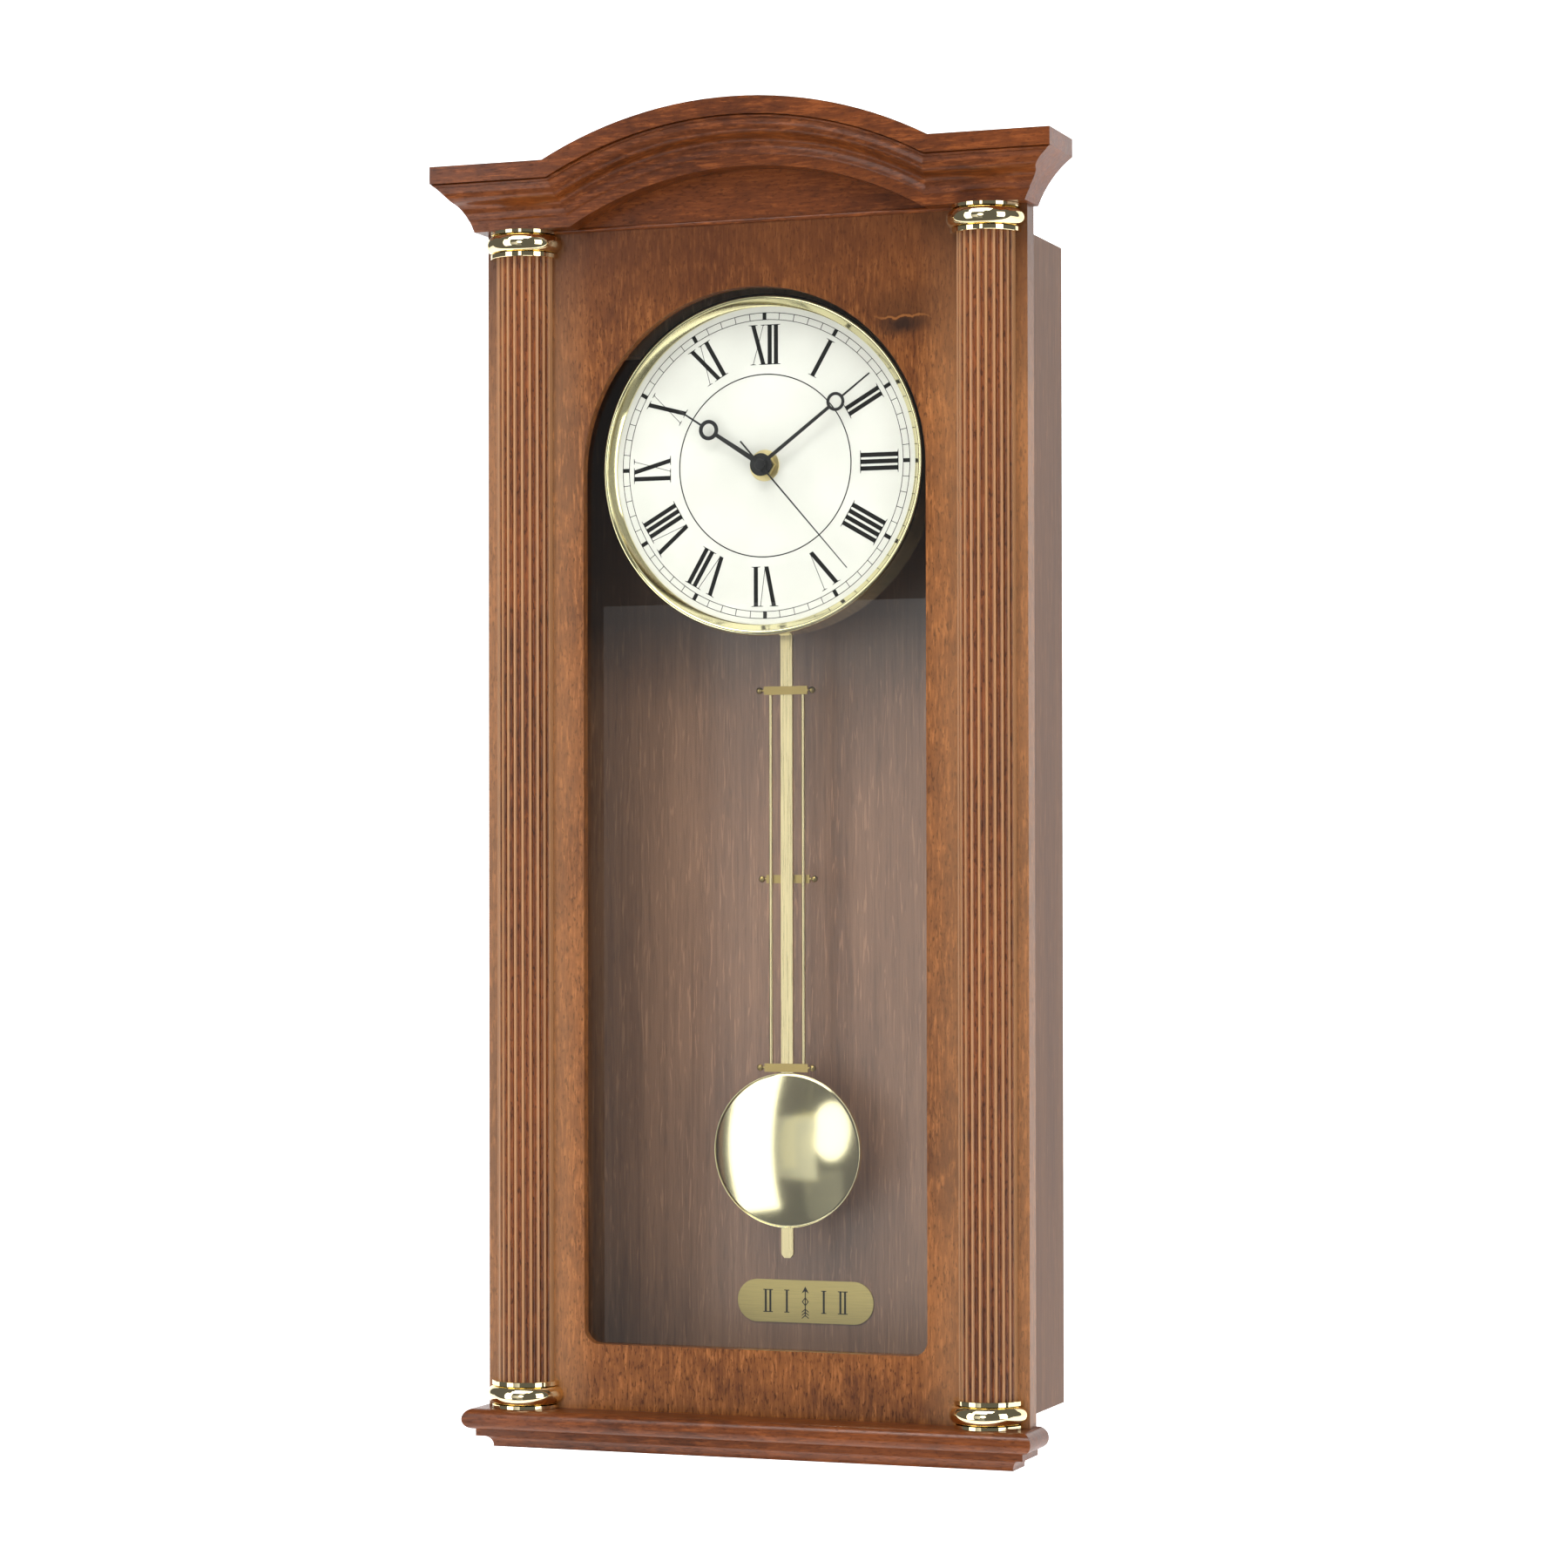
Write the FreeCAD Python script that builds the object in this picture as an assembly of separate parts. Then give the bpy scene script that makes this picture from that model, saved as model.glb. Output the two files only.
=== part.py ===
import FreeCAD, Part
import math
import os
from FreeCAD import Vector

# Pendulum wall clock with a hinged, glazed front.  Millimetres.
# X runs to the right seen from the front, Y runs into the wall, Z is up.
# The origin is the centre of the hanging hole, on the plane of the wall.

# Case
case_width = 260.5
case_height = 553.1
case_depth = 65.5
board_thickness = 12.0
back_thickness = 3.0
back_seat = 6.0
hanger_drop = 27.0
batten_above_hole = 15.0
batten_below_hole = 17.0
batten_thickness = 12.0

# Hanging plate and the screws of the back panel
hanger_hole_radius = 5.0
hanger_slot_half_width = 2.2
hanger_slot_rise = 6.0
hanger_pocket_radius = 7.0
hanger_pocket_depth = 8.0
hanger_plate_width = 46.0
hanger_plate_height = 30.0
hanger_plate_thickness = 1.2
hanger_screw_half_spacing = 17.0
screw_radius = 1.4
screw_head_radius = 2.8
screw_length = 8.0
pin_radius = 0.7
pin_length = 9.0
pin_rows = 5
pin_inset = 3.0
pin_end_margin = 15.0
bracket_screw_share = 0.7

# Door frame
door_gap = 0.5
door_thickness = 10.0
door_side_overhang = 6.0
door_over_case_top = 9.7
door_under_case_bottom = 3.2
bottom_rail = 31.3
window_bezel_gap = 5.0
window_arch_drop = 3.2
window_corner_radius = 7.5
window_lip = 5.0
glass_cover = 5.0
glass_thickness = 3.0
glass_edge_gap = 0.3
bead_width = 3.0

# Cornice
cornice_side_overhang = 18.75
cornice_height = 30.1
cornice_projection = 27.1
cornice_foot_projection = 11.5
cornice_foot_height = 5.2
cornice_cove_start = 12.3
cornice_turn_projection = 18.6
cornice_turn_height = 13.0
cornice_round_end = 24.9
cornice_round_top = 20.0
cornice_curve_bulge = 1.7
cornice_bead_projection = 25.6
cornice_bead_inset = 0.4
cornice_step = 0.8
cornice_bead_step = 0.2
fascia_height = 8.3
cornice_end_inset = 16.5
cornice_end_hollow = 2.0
arch_rise = 23.9
arch_half_width = 96.5
arch_sweep_degrees = 70.0

# Base moulding
base_side_overhang = 6.05
base_height = 18.7
base_projection = 20.0
bullnose_height = 9.8
fillet_projection = 14.7
fillet_height = 3.4
base_foot_projection = 8.2
base_cove_step = 1.5
base_cove_out = 1.3
base_cove_drop = 1.6
mitre_margin = 5.0

# Half columns and their rings
column_inset = 19.75
column_radius = 14.0
flute_count = 10
flute_radius = 1.75
flute_depth = 1.0
flute_span_degrees = 158.0
ring_radius = 18.5
collar_radius = 16.4
collar_near_shaft = 2.5
collar_far = 3.0
ring_swell_height = 7.7
ring_groove = 0.5
ring_groove_step = 0.3

# Dial
dial_drop = 105.1
dial_depth_behind_door = 7.5
dial_thickness = 0.5
dial_edge_gap = 0.9
drum_radius = 80.3
drum_wall = 0.8
drum_back_depth = 18.5
drum_front_reach = 2.5
bezel_lap = 1.2
bezel_cover = 3.8
bezel_height = 6.0
bezel_lap_depth = 1.0
bezel_seat_gap = 0.1
washer_radius = 8.0
washer_thickness = 0.5
nut_across_flats = 11.0
nut_thickness = 1.8

# Movement housing
movement_half_width = 28.0
movement_top = 28.0
movement_bottom = 46.0
movement_depth = 17.5
movement_wall = 1.2
movement_corner = 3.0
bush_radius = 4.0
bush_reach = 5.6
bracket_steel = 1.2
bracket_half_height = 20.0
bracket_side_gap = 4.0
bracket_foot = 13.0

# Hands and the shafts that carry them
running_gap = 0.05
seconds_shaft_radius = 0.6
minute_shaft_radius = 1.7
minute_stub_radius = 1.6
hour_pipe_radius = 2.5
hour_hand_gap = 0.825
hand_spacing = 1.4
hand_thickness = 0.5
hour_hand_margin = 25.5
minute_hand_margin = 7.5
second_hand_margin = 9.5
second_hand_tail = 20.0
hour_needle = 18.5
minute_needle = 22.0
hand_swell_share = 0.45
hand_swell_width = 1.5
hand_tip = 0.25
hour_root_half_width = 0.9
minute_root_half_width = 0.8
second_root_half_width = 0.35
second_tail_half_width = 0.7
hour_hub_radius = 4.4
minute_hub_radius = 4.0
hand_cap_radius = 2.9
hand_cap_rise = 0.6
hand_ring_radius = 4.7
hand_ring_hole = 2.7
hour_hand_degrees = 303.0
minute_hand_degrees = 53.0
second_hand_degrees = 139.0

# Gear train; tooth sizes are in modules, and half widths in shares of a tooth's turn
tooth_addendum = 0.8
tooth_dedendum = 1.1
tooth_root = 0.27
tooth_tip = 0.09
gear_gap = 0.5
layer_gap = 0.8
post_end_gap = 0.3
pinion_overlap = 0.2
wheel_thickness = 1.0
motion_layer = 1.4
arbor_spacing = 10.0
seconds_mesh_spacing = 10.2
step_mesh_spacing = 9.6
rotor_mesh_spacing = 8.96
hour_teeth = 40
motion_pinion_teeth = 10
motion_teeth = 36
minute_pinion_teeth = 12
centre_teeth = 64
third_teeth = 60
seconds_teeth = 40
intermediate_teeth = 48
small_pinion_teeth = 8
post_radius = 0.6
motion_post_radius = 0.8
thin_post_radius = 0.45
boss_radius = 2.0
boss_gap = 0.4
rotor_radius = 3.0
rotor_length = 2.3
knob_radius = 6.5
knob_shaft_radius = 1.2
knob_thickness = 2.6
knob_gap = 0.5
knob_grips = 12
knob_grip_radius = 0.7

# Battery and coils
battery_radius = 7.05
battery_length = 50.5
battery_rise = 19.5
battery_wall_gap = 0.5
battery_button_radius = 2.6
battery_button_length = 1.2
battery_side_gap = 0.3
battery_end_gap = 0.7
contact_half_size = 5.0
contact_dome_radius = 2.2
contact_thickness = 0.4
motor_coil_drop = 29.0
motor_coil_radius = 2.6
motor_coil_half_length = 10.0
motor_coil_flange = 3.6
motor_coil_cheek = 1.2
coil_drop = 39.0
coil_radius = 5.2
coil_bore_radius = 1.6
coil_length = 5.0

# Pendulum
pivot_drop = 24.0
axle_radius = 1.0
axle_reach = 4.9
leader_hub_radius = 3.2
leader_thickness = 1.5
leader_width = 8.0
leader_gap = 0.9
leader_length = 27.0
magnet_radius = 4.0
magnet_thickness = 1.6
hook_drop = 47.0
hook_radius = 1.5
hook_head_radius = 2.3
hook_neck = 0.3
hook_head_thickness = 0.7
rod_depth_behind_door = 37.7
rod_width = 6.0
rod_thickness = 1.8
rod_eye_width = 10.0
rod_eye_above = 4.0
rod_eye_below = 14.0
rod_slot_drop = 7.0
rod_slot_gap = 0.5
wire_half_spacing = 8.35
first_bar_drop = 106.1
bar_spacing = 91.2
bar_height = 4.0
bar_thickness = 1.2
bar_half_length = 11.15
finial_radius = 1.65
finial_centre = 13.5
finial_neck_radius = 0.55
bob_drop_below_bars = 40.0
bob_radius = 37.5
bob_front_swell = 5.4
bob_back_swell = 3.0
bob_rim = 1.2
shell_wall = 0.7
tip_below_bob_centre = 51.9
tip_point = 1.8

# Beat plate
plate_width = 70.4
plate_height = 20.8
plate_thickness = 0.7
plate_below_tip = 23.5
plate_pin_half_spacing = 31.0
plate_pin_end = 0.5
plate_corner_gap = 0.2

# Door hinges and catch
hinge_height = 40.0
hinge_inset = 70.0
knuckle_radius = 2.3
hinge_pin_radius = 1.0
hinge_side_gap = 0.6
leaf_thickness = 0.8
leaf_reach = 15.0
leaf_seat_gap = 0.1
knuckle_gap = 0.3
leaf_screw_radius = 0.9
leaf_screw_head = 1.7
leaf_screw_length = 7.0
leaf_screw_reach = 0.65
leaf_screw_spread = 0.3
hinge_pin_overhang = 0.6
catch_width = 10.0
catch_depth = 14.0
catch_height = 40.0
strike_thickness = 1.0
catch_gap = 0.3

# Places worked out from the sizes above
case_half = case_width / 2
inner_half = case_half - board_thickness
case_top = hanger_drop
case_bottom = case_top - case_height
case_front = -case_depth
panel_front = -back_thickness
door_back = case_front - door_gap
door_front = door_back - door_thickness
door_half = case_half + door_side_overhang
cornice_half_width = door_half + cornice_side_overhang
base_half_width = door_half + base_side_overhang
column_centre = door_half - column_inset
door_top = case_top + door_over_case_top
door_bottom = case_bottom - door_under_case_bottom
cornice_top = door_top + cornice_height
base_bottom = door_bottom - base_height
dial_z = case_top - dial_drop
dial_radius = drum_radius - drum_wall - dial_edge_gap
bezel_radius = drum_radius + bezel_lap
bezel_inner_radius = drum_radius - bezel_cover
hour_hand_length = bezel_inner_radius - hour_hand_margin
minute_hand_length = bezel_inner_radius - minute_hand_margin
second_hand_length = bezel_inner_radius - second_hand_margin
hour_ring_distance = hour_hand_length - hour_needle
minute_ring_distance = minute_hand_length - minute_needle
window_half_width = bezel_radius + window_bezel_gap
dial_front = door_back + dial_depth_behind_door
drum_web_front = dial_front + dial_thickness
bracket_front = drum_web_front + drum_wall
movement_front = bracket_front + bracket_steel
movement_back = movement_front + movement_depth
movement_inner_front = movement_front + movement_wall
cover_front = movement_back - movement_wall
battery_y = movement_inner_front + battery_radius + battery_wall_gap
battery_z = dial_z + battery_rise
window_arch_z = dial_z - window_arch_drop
window_bottom = door_bottom + bottom_rail
glass_front = door_front + window_lip
glass_back = glass_front + glass_thickness
arch_radius = (arch_half_width ** 2 + arch_rise ** 2) / (2 * arch_rise)
arch_centre_z = cornice_top + arch_rise - arch_radius
pivot_z = dial_z - pivot_drop
hook_z = dial_z - hook_drop
rod_centre_y = door_back + rod_depth_behind_door
rod_front = rod_centre_y - rod_thickness / 2
rod_back = rod_centre_y + rod_thickness / 2
first_bar_z = dial_z - first_bar_drop
last_bar_z = first_bar_z - 2 * bar_spacing
bob_z = last_bar_z - bob_drop_below_bars
tip_z = bob_z - tip_below_bob_centre
plate_z = tip_z - plate_below_tip
hinge_x = -case_half - knuckle_radius - hinge_side_gap
hinge_y = door_back + knuckle_radius + hinge_side_gap


# Simple solids

def block(x0, x1, y0, y1, z0, z1):
    corner = Vector(min(x0, x1), min(y0, y1), min(z0, z1))
    return Part.makeBox(abs(x1 - x0), abs(y1 - y0), abs(z1 - z0), corner)


def rod_y(x, z, radius, y0, y1):
    return Part.makeCylinder(radius, abs(y1 - y0), Vector(x, min(y0, y1), z), Vector(0, 1, 0))


def rod_z(x, y, radius, z0, z1):
    return Part.makeCylinder(radius, abs(z1 - z0), Vector(x, y, min(z0, z1)), Vector(0, 0, 1))


def rod_x(y, z, radius, x0, x1):
    return Part.makeCylinder(radius, abs(x1 - x0), Vector(min(x0, x1), y, z), Vector(1, 0, 0))


def ring_y(x, z, outer, inner, y0, y1):
    return rod_y(x, z, outer, y0, y1).cut(rod_y(x, z, inner, y0, y1))


def line(start, end):
    return Part.LineSegment(start, end).toShape()


def arc(start, middle, end):
    return Part.Arc(start, middle, end).toShape()


def face_of(edges):
    return Part.Face(Part.Wire(edges))


def polygon(points):
    return Part.Face(Part.makePolygon(points + [points[0]]))


def along_y(edge):
    return abs(edge.tangentAt(0).y) > 0.9


def joined(solids):
    whole = solids[0]
    for solid in solids[1:]:
        whole = whole.fuse(solid)
    return whole.removeSplitter()


def polar(radius, degrees):
    """A point in the XZ plane, with degrees counted clockwise from 12."""
    angle = math.radians(degrees)
    return radius * math.sin(angle), radius * math.cos(angle)


def lens_arc_middle(start, end, bulge):
    """The middle point of an arc that stands off its chord by bulge, to the chord's left."""
    chord = end - start
    side = Vector(-chord.z, 0, chord.x)
    side.normalize()
    return (start + end) / 2 + side * bulge


# Case

def side_panel(side):
    panel = block(side * inner_half, side * case_half, case_front, 0, case_bottom, case_top)
    seat = block(side * inner_half, side * (inner_half + back_seat), panel_front, 0, case_bottom, case_top)
    return panel.cut(seat)


def cross_board(low):
    return block(-inner_half, inner_half, case_front, panel_front, low, low + board_thickness)


def keyhole(radius, slot_half_width, y0, y1):
    entry = rod_y(0, 0, radius, y0, y1)
    slot = block(-slot_half_width, slot_half_width, y0, y1, 0, hanger_slot_rise)
    end = rod_y(0, hanger_slot_rise, slot_half_width, y0, y1)
    return joined([entry, slot, end])


def hanger_plate_blank():
    centre = hanger_slot_rise / 2
    return block(-hanger_plate_width / 2, hanger_plate_width / 2, -hanger_plate_thickness, 0,
                 centre - hanger_plate_height / 2, centre + hanger_plate_height / 2)


def back_screw(x, z):
    head_depth = screw_head_radius - screw_radius
    head = Part.makeCone(screw_head_radius, screw_radius, head_depth, Vector(x, 0, z), Vector(0, -1, 0))
    return head.fuse(rod_y(x, z, screw_radius, -screw_length, -head_depth)).removeSplitter()


def bracket_foot_x():
    return movement_half_width + bracket_side_gap + bracket_steel + bracket_foot / 2


def panel_screws():
    screws = []
    for side in (-1, 1):
        screws.append(back_screw(side * hanger_screw_half_spacing, hanger_slot_rise / 2))
        for up in (-1, 1):
            foot_z = dial_z + up * bracket_half_height * bracket_screw_share
            screws.append(back_screw(side * bracket_foot_x(), foot_z))
    return screws


def back_pin(x, z):
    return rod_y(x, z, pin_radius, -pin_length, 0)


def back_pins():
    pins = []
    for side in (-1, 1):
        for row in range(pin_rows):
            z = case_bottom + pin_end_margin + row * (case_height - 2 * pin_end_margin) / (pin_rows - 1)
            pins.append(back_pin(side * (inner_half + pin_inset), z))
        for z in (case_bottom + board_thickness / 2, case_top - board_thickness / 2):
            pins.append(back_pin(side * inner_half / 2, z))
    return pins


def back_panel(screws, pins):
    half = inner_half + back_seat
    panel = block(-half, half, panel_front, 0, case_bottom, case_top)
    panel = panel.cut(hanger_plate_blank())
    panel = panel.cut(keyhole(hanger_pocket_radius, hanger_pocket_radius, panel_front, 0))
    for fastener in screws + pins:
        panel = panel.cut(fastener)
    return panel


def hanging_batten(screws):
    batten = block(-inner_half, inner_half, panel_front - batten_thickness, panel_front,
                   -batten_below_hole, case_top - board_thickness)
    pocket = keyhole(hanger_pocket_radius, hanger_pocket_radius,
                     panel_front - hanger_pocket_depth, panel_front)
    batten = batten.cut(pocket)
    for screw in screws:
        batten = batten.cut(screw)
    return batten


def hanger_plate(screws):
    plate = hanger_plate_blank()
    plate = plate.cut(keyhole(hanger_hole_radius, hanger_slot_half_width, -hanger_plate_thickness, 0))
    for screw in screws:
        plate = plate.cut(screw)
    return plate


# Movement bracket, housing and fixed inner parts

def movement_bracket(screws):
    inner = movement_half_width + bracket_side_gap
    outer = inner + bracket_steel
    low = dial_z - bracket_half_height
    high = dial_z + bracket_half_height
    parts = [block(-outer, outer, bracket_front, movement_front, low, high)]
    for side in (-1, 1):
        parts.append(block(side * inner, side * outer, bracket_front, panel_front, low, high))
        parts.append(block(side * inner, side * (outer + bracket_foot),
                           panel_front - bracket_steel, panel_front, low, high))
    bracket = joined(parts)
    bracket = bracket.cut(rod_y(0, dial_z, bush_radius, bracket_front, movement_front))
    for screw in screws:
        bracket = bracket.cut(screw)
    return bracket


def housing_outline(inset, y0, y1):
    half = movement_half_width - inset
    solid = block(-half, half, y0, y1, dial_z - movement_bottom + inset, dial_z + movement_top - inset)
    upright = [edge for edge in solid.Edges if along_y(edge)]
    return solid.makeFillet(movement_corner - inset, upright)


def gear_layer(index):
    """Front face of each gear layer, counted back from the inside of the front wall."""
    step = wheel_thickness + layer_gap
    first = movement_inner_front + gear_gap
    return first if index == 0 else first + motion_layer + post_end_gap + (index - 1) * step


def movement_front_housing():
    shell = housing_outline(0, movement_front, cover_front)
    shell = shell.cut(housing_outline(movement_wall, movement_inner_front, cover_front))
    bush = rod_y(0, dial_z, bush_radius, movement_front - bush_reach, movement_inner_front)
    motion_post = rod_y(-arbor_spacing, dial_z, motion_post_radius, movement_inner_front,
                        gear_layer(2) - post_end_gap)
    third_post = rod_y(seconds_mesh_spacing, dial_z, thin_post_radius, movement_inner_front,
                       gear_layer(4) - gear_gap)
    housing = joined([shell, bush, motion_post, third_post])
    bore = rod_y(0, dial_z, hour_pipe_radius + running_gap, movement_front - bush_reach, movement_inner_front)
    return housing.cut(bore)


def movement_rear_cover():
    cover = housing_outline(0, cover_front, movement_back)
    opening_half = battery_length / 2 + battery_end_gap
    opening_reach = battery_radius + battery_side_gap
    opening = block(-opening_half, opening_half, cover_front, movement_back,
                    battery_z - opening_reach, battery_z + opening_reach)
    cover = cover.cut(opening)
    boss = rod_y(0, dial_z, boss_radius, gear_layer(5) + wheel_thickness + boss_gap, cover_front)
    step_post = rod_y(0, dial_z - step_mesh_spacing, post_radius, gear_layer(4) - post_end_gap, cover_front)
    rotor_post = rod_y(0, dial_z - step_mesh_spacing - rotor_mesh_spacing, thin_post_radius,
                       gear_layer(5) - post_end_gap, cover_front)
    axle = rod_y(0, pivot_z, axle_radius, movement_back, movement_back + axle_reach)
    cover = joined([cover, boss, step_post, rotor_post, axle])
    socket = rod_y(0, dial_z, seconds_shaft_radius + running_gap, gear_layer(5), cover_front)
    knob_hole = rod_y(-2 * arbor_spacing, dial_z, knob_shaft_radius + running_gap, cover_front, movement_back)
    return cover.cut(socket).cut(knob_hole)


def battery():
    shoulder = battery_length / 2 - battery_button_length
    body = rod_x(battery_y, battery_z, battery_radius, -battery_length / 2, shoulder)
    button = rod_x(battery_y, battery_z, battery_button_radius, shoulder, battery_length / 2)
    return joined([body, button])


def battery_contacts():
    wall = movement_half_width - movement_wall
    reach = contact_half_size
    contacts = []
    for side in (-1, 1):
        inner = side * (wall - contact_thickness)
        plate = block(inner, side * wall, battery_y - reach, battery_y + reach,
                      battery_z - reach, battery_z + reach)
        dome = rod_x(battery_y, battery_z, contact_dome_radius, side * battery_length / 2, inner)
        contacts.append(joined([plate, dome]))
    return contacts


def motor_coil():
    flange = motor_coil_flange
    cheek = motor_coil_cheek / 2
    y = cover_front - flange
    z = dial_z - motor_coil_drop
    parts = [rod_x(y, z, motor_coil_radius, -motor_coil_half_length, motor_coil_half_length)]
    for side in (-1, 1):
        end = side * motor_coil_half_length
        parts.append(block(end - cheek, end + cheek, y - flange, y + flange, z - flange, z + flange))
    return joined(parts)


def pendulum_coil():
    return ring_y(0, dial_z - coil_drop, coil_radius, coil_bore_radius,
                  cover_front - coil_length, cover_front)


# Dial

def dial_drum():
    return ring_y(0, dial_z, drum_radius, drum_radius - drum_wall,
                  dial_front - drum_front_reach, dial_front + drum_back_depth)


def dial_web():
    return ring_y(0, dial_z, drum_radius - drum_wall, bush_radius, drum_web_front, bracket_front)


def dial_face():
    return ring_y(0, dial_z, dial_radius, bush_radius, dial_front, drum_web_front)


def dial_bezel():
    front = dial_front - bezel_height
    shoulder = front + (bezel_radius - bezel_inner_radius) / 2
    middle = (bezel_radius + bezel_inner_radius) / 2
    lap = dial_front + bezel_lap_depth
    rim = dial_front - drum_front_reach
    inner = drum_radius - drum_wall

    def at(radius, y):
        return Vector(radius, y, dial_z)

    seat = dial_front - bezel_seat_gap
    edges = [line(at(bezel_inner_radius, seat), at(bezel_inner_radius, shoulder)),
             arc(at(bezel_inner_radius, shoulder), at(middle, front), at(bezel_radius, shoulder)),
             line(at(bezel_radius, shoulder), at(bezel_radius, lap)),
             line(at(bezel_radius, lap), at(drum_radius, lap)),
             line(at(drum_radius, lap), at(drum_radius, rim)),
             line(at(drum_radius, rim), at(inner, rim)),
             line(at(inner, rim), at(inner, seat)),
             line(at(inner, seat), at(bezel_inner_radius, seat))]
    return face_of(edges).revolve(Vector(0, 0, dial_z), Vector(0, 1, 0), 360)


def centre_washer():
    return ring_y(0, dial_z, washer_radius, bush_radius, dial_front - washer_thickness, dial_front)


def centre_nut():
    across_corners = nut_across_flats / math.cos(math.pi / 6) / 2
    back = dial_front - washer_thickness
    points = []
    for corner in range(6):
        x, z = polar(across_corners, 60 * corner)
        points.append(Vector(x, back, dial_z + z))
    nut = polygon(points).extrude(Vector(0, -nut_thickness, 0))
    return nut.cut(rod_y(0, dial_z, bush_radius, back - nut_thickness, back))


# Gears and hands

def gear_solid(teeth, module, x, z, phase, y0, y1):
    """A spur gear with straight tapered teeth; phase is the place of one tooth, clockwise from 12."""
    pitch_radius = teeth * module / 2
    tip_radius = pitch_radius + tooth_addendum * module
    root_radius = pitch_radius - tooth_dedendum * module
    tooth = 360 / teeth
    points = []
    for index in range(teeth):
        middle = phase + index * tooth
        for radius, offset in ((root_radius, -tooth_root), (tip_radius, -tooth_tip),
                               (tip_radius, tooth_tip), (root_radius, tooth_root)):
            across, up = polar(radius, middle + offset * tooth)
            points.append(Vector(x + across, y0, z + up))
    return polygon(points).extrude(Vector(0, y1 - y0, 0))


def meshed_phase(phase, teeth, other_teeth, direction):
    """The phase of the gear that meshes with one at phase, with its centre in the given direction."""
    return direction + 180 + (180 - (phase - direction) * teeth) / other_teeth


def hand_back(index):
    """Back face of each hand: 0 is the hour hand, 1 the minute hand and 2 the second hand."""
    return movement_front - bush_reach - hour_hand_gap - index * hand_spacing


def hour_wheel():
    module = 2 * arbor_spacing / (hour_teeth + motion_pinion_teeth)
    front = gear_layer(0)
    wheel = gear_solid(hour_teeth, module, 0, dial_z, 0, front, front + wheel_thickness)
    pipe = rod_y(0, dial_z, hour_pipe_radius, hand_back(0) - hand_thickness, front + wheel_thickness)
    bore = rod_y(0, dial_z, minute_shaft_radius + running_gap, hand_back(0) - 1, front + wheel_thickness)
    return joined([wheel, pipe]).cut(bore)


def motion_wheel():
    slow_module = 2 * arbor_spacing / (hour_teeth + motion_pinion_teeth)
    fast_module = 2 * arbor_spacing / (motion_teeth + minute_pinion_teeth)
    pinion_phase = meshed_phase(0, hour_teeth, motion_pinion_teeth, 270)
    wheel_phase = meshed_phase(0, minute_pinion_teeth, motion_teeth, 270)
    x = -arbor_spacing
    middle = gear_layer(1)
    pinion = gear_solid(motion_pinion_teeth, slow_module, x, dial_z, pinion_phase, gear_layer(0), middle)
    wheel = gear_solid(motion_teeth, fast_module, x, dial_z, wheel_phase, middle, middle + wheel_thickness)
    bore = rod_y(x, dial_z, motion_post_radius + running_gap, gear_layer(0), middle + wheel_thickness)
    return joined([pinion, wheel]).cut(bore)


def minute_arbor():
    module = 2 * arbor_spacing / (motion_teeth + minute_pinion_teeth)
    front = gear_layer(1)
    pinion = gear_solid(minute_pinion_teeth, module, 0, dial_z, 0, front, front + wheel_thickness)
    shaft = rod_y(0, dial_z, minute_shaft_radius, hand_back(1) - hand_thickness, front)
    stub = rod_y(0, dial_z, minute_stub_radius, front, gear_layer(2) + wheel_thickness + pinion_overlap)
    bore = rod_y(0, dial_z, seconds_shaft_radius + running_gap, hand_back(1) - 1, gear_layer(3))
    return joined([pinion, shaft, stub]).cut(bore)


def setting_knob():
    module = 2 * arbor_spacing / (motion_teeth + minute_pinion_teeth)
    wheel_phase = meshed_phase(0, minute_pinion_teeth, motion_teeth, 270)
    phase = meshed_phase(wheel_phase, motion_teeth, minute_pinion_teeth, 270)
    x = -2 * arbor_spacing
    front = gear_layer(1)
    pinion = gear_solid(minute_pinion_teeth, module, x, dial_z, phase, front, front + wheel_thickness)
    knob_front = movement_back + knob_gap
    knob_back = knob_front + knob_thickness
    shaft = rod_y(x, dial_z, knob_shaft_radius, front, knob_front)
    knob = rod_y(x, dial_z, knob_radius, knob_front, knob_back)
    for index in range(knob_grips):
        across, up = polar(knob_radius, 360 / knob_grips * index)
        knob = knob.cut(rod_y(x + across, dial_z + up, knob_grip_radius, knob_front, knob_back))
    return joined([pinion, shaft, knob])


def centre_wheel():
    module = 2 * seconds_mesh_spacing / (centre_teeth + small_pinion_teeth)
    front = gear_layer(2)
    wheel = gear_solid(centre_teeth, module, 0, dial_z, 0, front, front + wheel_thickness)
    bore = rod_y(0, dial_z, minute_stub_radius + running_gap, front, front + wheel_thickness)
    return wheel.cut(bore)


def third_wheel():
    pinion_module = 2 * seconds_mesh_spacing / (centre_teeth + small_pinion_teeth)
    wheel_module = 2 * seconds_mesh_spacing / (third_teeth + small_pinion_teeth)
    pinion_phase = meshed_phase(0, centre_teeth, small_pinion_teeth, 90)
    wheel_phase = meshed_phase(0, small_pinion_teeth, third_teeth, 90)
    x = seconds_mesh_spacing
    front = gear_layer(3)
    start = gear_layer(2) - pinion_overlap
    pinion = gear_solid(small_pinion_teeth, pinion_module, x, dial_z, pinion_phase, start, front)
    wheel = gear_solid(third_teeth, wheel_module, x, dial_z, wheel_phase, front, front + wheel_thickness)
    bore = rod_y(x, dial_z, thin_post_radius + running_gap, start, front + wheel_thickness)
    return joined([pinion, wheel]).cut(bore)


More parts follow.
